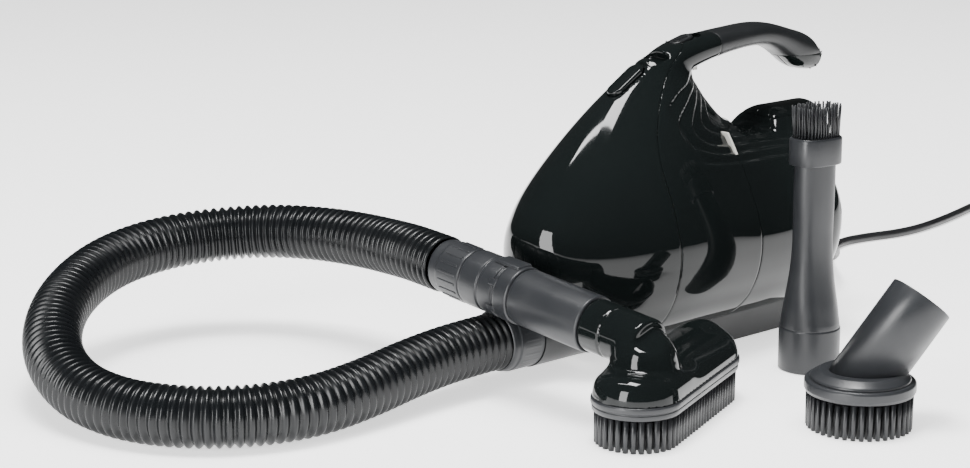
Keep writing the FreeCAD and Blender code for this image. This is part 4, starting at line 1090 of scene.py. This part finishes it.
def headField(x, y, z):
    u, v = headLocal(x, y)
    h = np.clip((z - 28) / 17, 0, 1.3)
    draw = 0.5 + 1.2 * h + 8.5 * h ** 3.0
    crown = stadiumField(u, v, head["long"] - 1 - 2 * draw, head["wide"] - 1 - 2 * draw)
    # the long flanks are scooped between the turret and the rear knuckle
    scoop = 5.0 * smoothStep(h, 0.12, 0.9) * smoothStep(u, -28, -2) * (1 - smoothStep(u, 48, 64)) * smoothStep(np.abs(v), 4, 20)
    crown = smoothMax(crown + scoop, z - 43.5 + 0.006 * v * v, 4.5)
    spine = np.hypot(v, np.maximum(0, 35 - z) + np.maximum(z - 37.2, 0) * 1.0) - 7.5
    spine = smoothMax(smoothMax(spine, np.abs(u - 16) - 46, 5), z - 45.6, 3)
    crown = smoothMin(crown, spine, 7)
    knuckle = np.sqrt(((u - 58) / 1.2) ** 2 + (v / 1.5) ** 2 + (z - 40) ** 2) - 7.6
    crown = smoothMin(crown, knuckle, 5)
    dx, dy, dz = x - head["dome"][0], y - head["dome"][1], z - head["dome"][2]
    dome = np.sqrt(dx * dx + dy * dy + dz * dz) - head["domeRadius"]
    # a flat lens on the turret's upper side, and a column that leans out to the base's end
    facet = dx * -0.30 + dy * -0.42 + dz * 0.857 - 17.2
    dome = smoothMax(dome, facet, 1.2)
    t = np.clip((z - 29) / 16, 0, 1)
    column = np.hypot(x - (-203.5 + 10.5 * t), y - (-138.6 + 4.6 * t)) - (25.2 - 5.2 * t)
    foot = smoothMax(column, z - 46, 3)
    turret = smoothMin(dome, foot, 2.5)
    f = smoothMin(crown, turret, 3.2)
    along, off = wandLocal(x, y, z)
    neck = smoothMax(smoothMax(off - head["neck"], 132.7 - along, 0.8), along - 176, 3)
    f = smoothMin(f, neck, 3.0)
    # parting groove between the turning neck and the turret
    f = f + 0.7 * np.exp(-((along - 149.5) / 0.7) ** 2) * (off < 20) * (dz > -14)
    spigot = np.maximum(np.maximum(off - head["spigot"], 108 - along), along - 140)
    f = np.minimum(f, spigot)
    f = np.maximum(f, -np.maximum(np.maximum(off - head["airway"], 107 - along), along - 167))
    return np.maximum(f, 28.05 - z)


headStep = 1.0
hv, hq = surfaceNet(headField, (-240, -186, 26), (-84, -62, 76), headStep)
hv = settle(headField, hv, 5, 0.6)
headCover = meshObject("brushCover", hv * mm, np.concatenate([hq[:, [0, 1, 2]], hq[:, [0, 2, 3]]]), mats["gloss_black"])
markSharp(headCover, 55)
finishPiece(headCover, "upholstery_brush", "gloss_black", "upholstery_head", material=mats["gloss_black"])


def stadiumPoints(length, width, count=44):
    half, r = (length - width) / 2, width / 2
    pts = []
    for k in range(count + 1):
        a = -math.pi / 2 + math.pi * k / count
        pts.append((half + r * math.cos(a), r * math.sin(a)))
    for k in range(count + 1):
        a = math.pi / 2 + math.pi * k / count
        pts.append((-half + r * math.cos(a), r * math.sin(a)))
    return pts


def stadiumStack(name, rows, length, width, place, material):
    # rows of (height, inset), closed at both ends
    verts, faces = [], []
    n = None
    for z, inset in rows:
        ring = stadiumPoints(length - 2 * inset, width - 2 * inset)
        n = len(ring)
        verts += [place @ Vector((u * mm, v * mm, z * mm)) for u, v in ring]
    for i in range(len(rows) - 1):
        for k in range(n):
            m = (k + 1) % n
            faces.append((i * n + k, i * n + m, (i + 1) * n + m, (i + 1) * n + k))
    faces.append(tuple(range(n))[::-1])
    faces.append(tuple((len(rows) - 1) * n + k for k in range(n)))
    return markSharp(meshObject(name, verts, faces, material), 40)


headPlace = Matrix.Translation(Vector((head["middle"][0] * mm, head["middle"][1] * mm, 0))) @ Matrix.Rotation(headTurn, 4, "Z")
baseRows = [(20.0, 1.6), (20.2, 1.1), (20.7, 0.8), (22.6, 0.7), (23.0, 0.75), (23.3, 1.1), (23.9, 1.15), (24.2, 0.7), (24.5, 0.15),
            (24.9, 0.0), (27.0, 0.0), (27.5, 0.12), (27.85, 0.5), (28.0, 1.0)]
headBase = stadiumStack("brushBase", baseRows, head["long"], head["wide"], headPlace, mats["charcoal"])
finishPiece(headBase, "upholstery_brush", "charcoal", "head_base", material=mats["charcoal"])


def tuftTree():
    # rods stand on the outline's points, each leaning and turned a little by the seed
    tree, start, end = newGroup(
        "standingTufts",
        [("Geometry", "NodeSocketGeometry", None), ("Spacing", "NodeSocketFloat", 0.0047), ("Radius", "NodeSocketFloat", 0.0017),
         ("Height", "NodeSocketFloat", 0.02), ("Lean", "NodeSocketFloat", 0.03), ("Sides", "NodeSocketInt", 9),
         ("Seed", "NodeSocketInt", 3), ("Material", "NodeSocketMaterial", None)],
        [("Geometry", "NodeSocketGeometry")], "GeometryNodeTree",
    )
    link = tree.links.new
    toCurve = tree.nodes.new("GeometryNodeMeshToCurve")
    spaced = tree.nodes.new("GeometryNodeResampleCurve")
    spaced.mode = "LENGTH"
    rod = tree.nodes.new("GeometryNodeMeshCone")
    rod.fill_type = "NGON"
    rodSpread = tree.nodes.new("ShaderNodeMath")
    rodSpread.operation = "MULTIPLY"
    rodSpread.inputs[1].default_value = 0.9
    jitter = tree.nodes.new("FunctionNodeRandomValue")
    jitter.data_type = "FLOAT_VECTOR"
    lean = tree.nodes.new("ShaderNodeVectorMath")
    lean.operation = "SCALE"
    grow = tree.nodes.new("FunctionNodeRandomValue")
    place = tree.nodes.new("GeometryNodeInstanceOnPoints")
    smooth = tree.nodes.new("GeometryNodeSetShadeSmooth")
    realize = tree.nodes.new("GeometryNodeRealizeInstances")
    paint = tree.nodes.new("GeometryNodeSetMaterial")
    link(start.outputs["Geometry"], toCurve.inputs["Mesh"])
    link(toCurve.outputs["Curve"], spaced.inputs["Curve"])
    link(start.outputs["Spacing"], spaced.inputs["Length"])
    link(start.outputs["Sides"], rod.inputs["Vertices"])
    rod.inputs["Side Segments"].default_value = 2
    link(start.outputs["Radius"], rod.inputs["Radius Top"])
    link(start.outputs["Radius"], rodSpread.inputs[0])
    link(rodSpread.outputs[0], rod.inputs["Radius Bottom"])
    link(start.outputs["Height"], rod.inputs["Depth"])
    jitter.inputs[0].default_value = (-1, -1, -3)
    jitter.inputs[1].default_value = (1, 1, 3)
    link(start.outputs["Seed"], jitter.inputs["Seed"])
    link(jitter.outputs[0], lean.inputs[0])
    link(start.outputs["Lean"], lean.inputs["Scale"])
    grow.inputs[2].default_value = 0.92
    grow.inputs[3].default_value = 1.0
    link(start.outputs["Seed"], grow.inputs["Seed"])
    link(spaced.outputs["Curve"], place.inputs["Points"])
    link(rod.outputs["Mesh"], place.inputs["Instance"])
    link(lean.outputs["Vector"], place.inputs["Rotation"])
    link(grow.outputs[1], place.inputs["Scale"])
    link(place.outputs["Instances"], realize.inputs["Geometry"])
    link(realize.outputs["Geometry"], smooth.inputs["Geometry"])
    link(smooth.outputs["Geometry"], paint.inputs["Geometry"])
    link(start.outputs["Material"], paint.inputs["Material"])
    link(paint.outputs["Geometry"], end.inputs["Geometry"])
    return tree


tufts = tuftTree()


def loopsMesh(name, loops, place):
    verts, edges = [], []
    for loop in loops:
        base, n = len(verts), len(loop)
        verts += [tuple(place @ Vector((u * mm, v * mm, 0))) for u, v in loop]
        edges += [(base + k, base + (k + 1) % n) for k in range(n)]
    mesh = bpy.data.meshes.new(name)
    mesh.from_pydata(verts, edges, [])
    obj = bpy.data.objects.new(name, mesh)
    bpy.context.scene.collection.objects.link(obj)
    return obj


def tuftPiece(name, loops, place, low, high, radius, spacing, lean, seed, core=None, top=None):
    # the tree stands rods on z = 0; they are lifted to their place afterwards
    obj = loopsMesh(name, loops, place)
    applyTree(obj, tufts, {"Spacing": spacing * mm, "Radius": radius * mm, "Height": (high - low) * mm, "Lean": lean,
                           "Sides": 9, "Seed": seed, "Material": mats["bristle"]})
    for v in obj.data.vertices:
        v.co.z = min(max(v.co.z + low * mm, low * mm), high * mm)
    parts = [obj] + ([core] if core else [])
    return joinMeshes(name, parts, mats["bristle"])


insets = (3.9, 8.4)
headLoops = [stadiumPoints(head["long"] - 2 * i, head["wide"] - 2 * i, 24) for i in insets]
headCore = stadiumStack("brushCore", [(0.8, 8.0), (19.9, 6.5)], head["long"], head["wide"], headPlace, mats["bristle"])
headTufts = tuftPiece("brushTufts", headLoops, headPlace, 0.0, 19.95, 2.0, head["tuftSpacing"], 0.010, 5, headCore)
finishPiece(headTufts, "upholstery_brush", "bristle", "head_bristles", material=mats["bristle"])
print("upholstery brush ready")

# crevice tool standing on its socket, with the sliding brush at its tip
crevice = {"at": (-12, -109), "turn": -6, "foot": 20, "bore": 18.2, "depth": 30, "tip": 154, "wall": 2, "collar": 18, "tuft": 21}
crevicePlace = Matrix.Translation(Vector((crevice["at"][0] * mm, crevice["at"][1] * mm, 0))) @ Matrix.Rotation(math.radians(crevice["turn"]), 4, "Z")


def superOval(halfLong, halfShort, power, count=96):
    return [(halfLong * math.copysign(abs(math.cos(a)) ** power, math.cos(a)),
             halfShort * math.copysign(abs(math.sin(a)) ** power, math.sin(a)))
            for a in (2 * math.pi * k / count for k in range(count))]


def ovalStack(name, rows, place, material, closedLoop=False):
    # rows of (height, half length, half depth, corner power)
    verts, faces = [], []
    n = 96
    for z, a, b, power in rows:
        verts += [place @ Vector((u * mm, v * mm, z * mm)) for u, v in superOval(a, b, power, n)]
    count = len(rows)
    for i in range(count if closedLoop else count - 1):
        j = (i + 1) % count
        for k in range(n):
            m = (k + 1) % n
            faces.append((i * n + k, i * n + m, j * n + m, j * n + k))
    if not closedLoop:
        faces.append(tuple(range(n))[::-1])
        faces.append(tuple((count - 1) * n + k for k in range(n)))
    return markSharp(meshObject(name, verts, faces, material), 40)


def waistRows(shave, low, high, steps=40):
    stops = np.array([(30, 20, 20, 1.0), (48, 17.5, 15.5, 0.95), (76, 14.5, 10.5, 0.85), (104, 14.5, 9.9, 0.82), (153.7, 14.5, 9.5, 0.8)])
    rows = []
    for z in np.linspace(low, high, steps):
        a, b, p = (naturalSpline(stops[:, 0], stops[:, k], np.array([max(z, 30)]))[0] for k in (1, 2, 3))
        rows.append((z, a - shave, b - shave, p))
    return rows


outerRows = [(0.6, 19.3, 19.3, 1.0), (0.15, 18.9, 18.9, 1.0)]
outerRows = [(0.0, 18.6, 18.6, 1.0), (0.15, 19.4, 19.4, 1.0), (0.7, 19.95, 19.95, 1.0), (27.6, 20, 20, 1.0), (28.4, 19.9, 19.9, 1.0), (28.9, 19.4, 19.4, 1.0)]
outerRows += [(z, a - 0.55 * (1 - smoothStep(z, 30, 46)), b - 0.55 * (1 - smoothStep(z, 30, 46)), p) for z, a, b, p in waistRows(0, 29.6, 153.2)]
outerRows += [(153.6, 14.1, 9.1, 0.8)]
innerRows = waistRows(2, 31.5, 153.6)[::-1] + [(30.0, 17.6, 17.6, 1.0), (30.0, 18.2, 18.2, 1.0), (0.5, 18.2, 18.2, 1.0)]
creviceTool = ovalStack("creviceTool", outerRows + innerRows, crevicePlace, mats["charcoal"], closedLoop=True)
finishPiece(creviceTool, "crevice_tool", "charcoal", "crevice_tool", material=mats["charcoal"])
collarRows = [(136.2, 16.9, 11.9, 0.7), (136.5, 17.3, 12.3, 0.7), (137.2, 17.5, 12.5, 0.7), (152.6, 17.5, 12.5, 0.7), (153.5, 17.2, 12.2, 0.7),
              (153.9, 16.8, 11.8, 0.7), (153.9, 15.0, 10.8, 0.8), (136.2, 15.0, 10.8, 0.8)]
creviceCollar = ovalStack("creviceCollar", collarRows, crevicePlace, mats["charcoal"], closedLoop=True)
finishPiece(creviceCollar, "crevice_brush", "charcoal", "crevice_collar", material=mats["charcoal"])
creviceLoops = [superOval(15.7, 10.7, 0.75, 72), superOval(13.2, 8.2, 0.78, 72)]
creviceTufts = tuftPiece("creviceTufts", creviceLoops, crevicePlace, 154.05, 175.0, 0.62, 2.15, 0.05, 11)
finishPiece(creviceTufts, "crevice_brush", "bristle", "crevice_bristles", material=mats["bristle"])

# round dusting brush with its slanted socket
dusting = {"at": (-85, -209), "ring": 33.5, "tuft": 22, "band": 8, "foot": (-85, -209, 27), "end": (-49.4, -225, 76), "socket": 20, "bore": 18.2}
dustPlace = Matrix.Translation(Vector((dusting["at"][0] * mm, dusting["at"][1] * mm, 0)))
ringProfile = roundedProfile([(22.05, 0.01), (22.05, 32.6), (23.4, 32.9), (23.9, 33.45), (28.6, 33.45), (29.9, 32.4), (29.9, 0.01)], 0.5)
dustRing = lathe("dustingRing", [(a * mm, r * mm) for a, r in ringProfile], dustPlace, 128)
finishPiece(dustRing, "dusting_brush", "charcoal", "dusting_ring", material=mats["charcoal"])
socketFoot, socketEnd = Vector(dusting["foot"]) * mm, Vector(dusting["end"]) * mm
socketWay = (socketEnd - socketFoot).normalized()
socketLong = (socketEnd - socketFoot).length / mm
socketPlace = axisMatrix(socketFoot, socketWay)
neckProfile = roundedProfile([
    (-14, 0.01), (-14, 20), (socketLong - 0.4, 20), (socketLong, 19.6), (socketLong, 18.2), (socketLong - 32, 18.2), (socketLong - 32, 0.01),
], 0.45)
dustNeck = lathe("dustingNeck", [(a * mm, r * mm) for a, r in neckProfile], socketPlace, 128)
bm = bmesh.new()
bm.from_mesh(dustNeck.data)
cut = bmesh.ops.bisect_plane(bm, geom=bm.verts[:] + bm.edges[:] + bm.faces[:], plane_co=(0, 0, 0.03005), plane_no=(0, 0, 1), clear_inner=True)
bmesh.ops.edgeloop_fill(bm, edges=[e for e in bm.edges if e.is_boundary])
bmesh.ops.recalc_face_normals(bm, faces=bm.faces)
bm.to_mesh(dustNeck.data)
bm.free()
shoulder = lathe("dustingShoulder", [(a * mm, r * mm) for a, r in roundedProfile([
    (30.05, 0.01), (30.05, 30.4), (31.6, 29.9), (34.95, 24.6), (34.95, 0.01)], 0.6)], dustPlace, 128)
dustTop = joinMeshes("dustingNeck", [markSharp(dustNeck, 40), shoulder], mats["charcoal"])
finishPiece(dustTop, "dusting_brush", "charcoal", "dusting_neck", material=mats["charcoal"])
circleLoops = [[(r * math.cos(2 * math.pi * k / 90), r * math.sin(2 * math.pi * k / 90)) for k in range(90)] for r in (30.4, 26.2)]
dustCore = lathe("dustingCore", [(0.8 * mm, 0.00001), (0.8 * mm, 25.5 * mm), (21.9 * mm, 27 * mm), (21.9 * mm, 0.00001)], dustPlace, 64)
dustTufts = tuftPiece("dustingTufts", circleLoops, dustPlace, 0.0, 22.0, 1.75, 5.0, 0.012, 8, dustCore)
finishPiece(dustTufts, "dusting_brush", "bristle", "dusting_bristles", material=mats["bristle"])
print("loose tools ready")

# thumb controls on the crest


def crownedKey(name, length, width, low, high, place, material, crown=0.6, ridges=0):
    rows = [(low, 0.4), (high - 1.2, 0.0), (high - 0.5, 0.25), (high - 0.12, 0.7), (high, 1.3), (high - 0.15, 2.4), (high - crown, 4.0)]
    obj = stadiumStack(name, rows, length, width, place, material)
    parts = [obj]
    for k in range(ridges):
        at = (k - (ridges - 1) / 2) * 2.4
        bar = stadiumStack(name + "Ridge", [(high - 2, 0), (high - 0.1, 0.05), (high + 0.3, 0.35)], width * 0.62, 1.1,
                           place @ Matrix.Translation(Vector((at * mm, 0, 0))) @ Matrix.Rotation(math.pi / 2, 4, "Z"), material)
        parts.append(bar)
    return joinMeshes(name, parts, material) if ridges else obj


def onCrest(at, slope):
    place = Matrix.Translation(Vector((at[0] * mm, 0, at[1] * mm)))
    return place @ Matrix.Rotation(-math.radians(slope), 4, "Y")


buttonPiece = crownedKey("releaseButton", 32, 12, 1.6 - 5, 1.5, onCrest(button["at"], button["slope"]), mats["gloss_black"])
finishPiece(buttonPiece, "release_button", "gloss_black", "release_button", material=mats["gloss_black"])
sliderPiece = crownedKey("thumbSlide", 19, 11, 0.1, 4.8, onCrest(slider["at"], slider["slope"]), mats["satin_black"], 0.5, 5)
finishPiece(sliderPiece, "power_slider", "satin_black", "power_slider", material=mats["satin_black"])
print("controls ready")

# the lead's tapered, finned sleeve, and its moulded plug
relief = {"place": (0.079, 0, 0.042), "flange": 8.4, "root": 5.9, "tip": 4.7, "fins": 9, "start": 4.5, "end": 46.8}
reliefPoints = [(0.1, 3.5), (46.8, 3.5), (46.8, 4.3), (46.2, 4.65)]
finPitch = (relief["end"] - 16) / relief["fins"]
for fin in range(relief["fins"], 0, -1):
    at = 15 + fin * finPitch * 0.98
    r = relief["root"] + (relief["tip"] - relief["root"]) * fin / relief["fins"]
    reliefPoints += [(at, r), (at - finPitch * 0.55, r + 0.05), (at - finPitch * 0.62, r - 1.0), (at - finPitch * 0.93, r - 1.0)]
reliefPoints += [(14.5, relief["root"] - 0.2), (2.4, relief["root"] - 0.1), (2.4, relief["flange"]), (0.1, relief["flange"])]
reliefPiece = turned("leadSleeve", reliefPoints, axisMatrix(relief["place"], (1, 0, 0)), 0.3, 72)
finishPiece(reliefPiece, "housing", "rubber", "strain_relief", material=mats["rubber"])

plug = {"middle": (596, 66, 30.5), "long": 34, "wide": 25, "tall": 17, "ribs": 5}
plugPlace = Matrix.Translation(Vector(plug["middle"]) * mm) @ Matrix.Rotation(math.pi / 2, 4, "Y")
plugRows = [(-17.0, 6.8, 4.6), (-16.6, 8.0, 5.6), (-14.5, 9.6, 7.0)]
for rib in range(plug["ribs"]):
    z = -12.5 + rib * 3.4
    plugRows += [(z, 10.9, 8.3), (z + 1.3, 11.0, 8.4), (z + 1.7, 10.1, 7.5), (z + 3.0, 10.2, 7.6)]
plugRows += [(6.0, 12.2, 8.4), (15.6, 12.4, 8.45), (16.6, 12.1, 8.2), (17.0, 11.2, 7.4)]
plugRows = [(z, b, a, 0.7) for z, a, b in plugRows]
plugShell = ovalStack("plugBody", plugRows, plugPlace, mats["rubber"])
stubPiece = turned("plugStub", [(0, 0.01), (0, 4.6), (3, 4.9), (15, 5.0), (15, 0.01)], axisMatrix((0.5655, 0.066, 0.0305), (1, 0, 0)), 0.3, 48)
plugPiece = joinMeshes("plugBody", [plugShell, stubPiece], mats["rubber"])
finishPiece(plugPiece, "housing", "rubber", "plug_body", material=mats["rubber"])
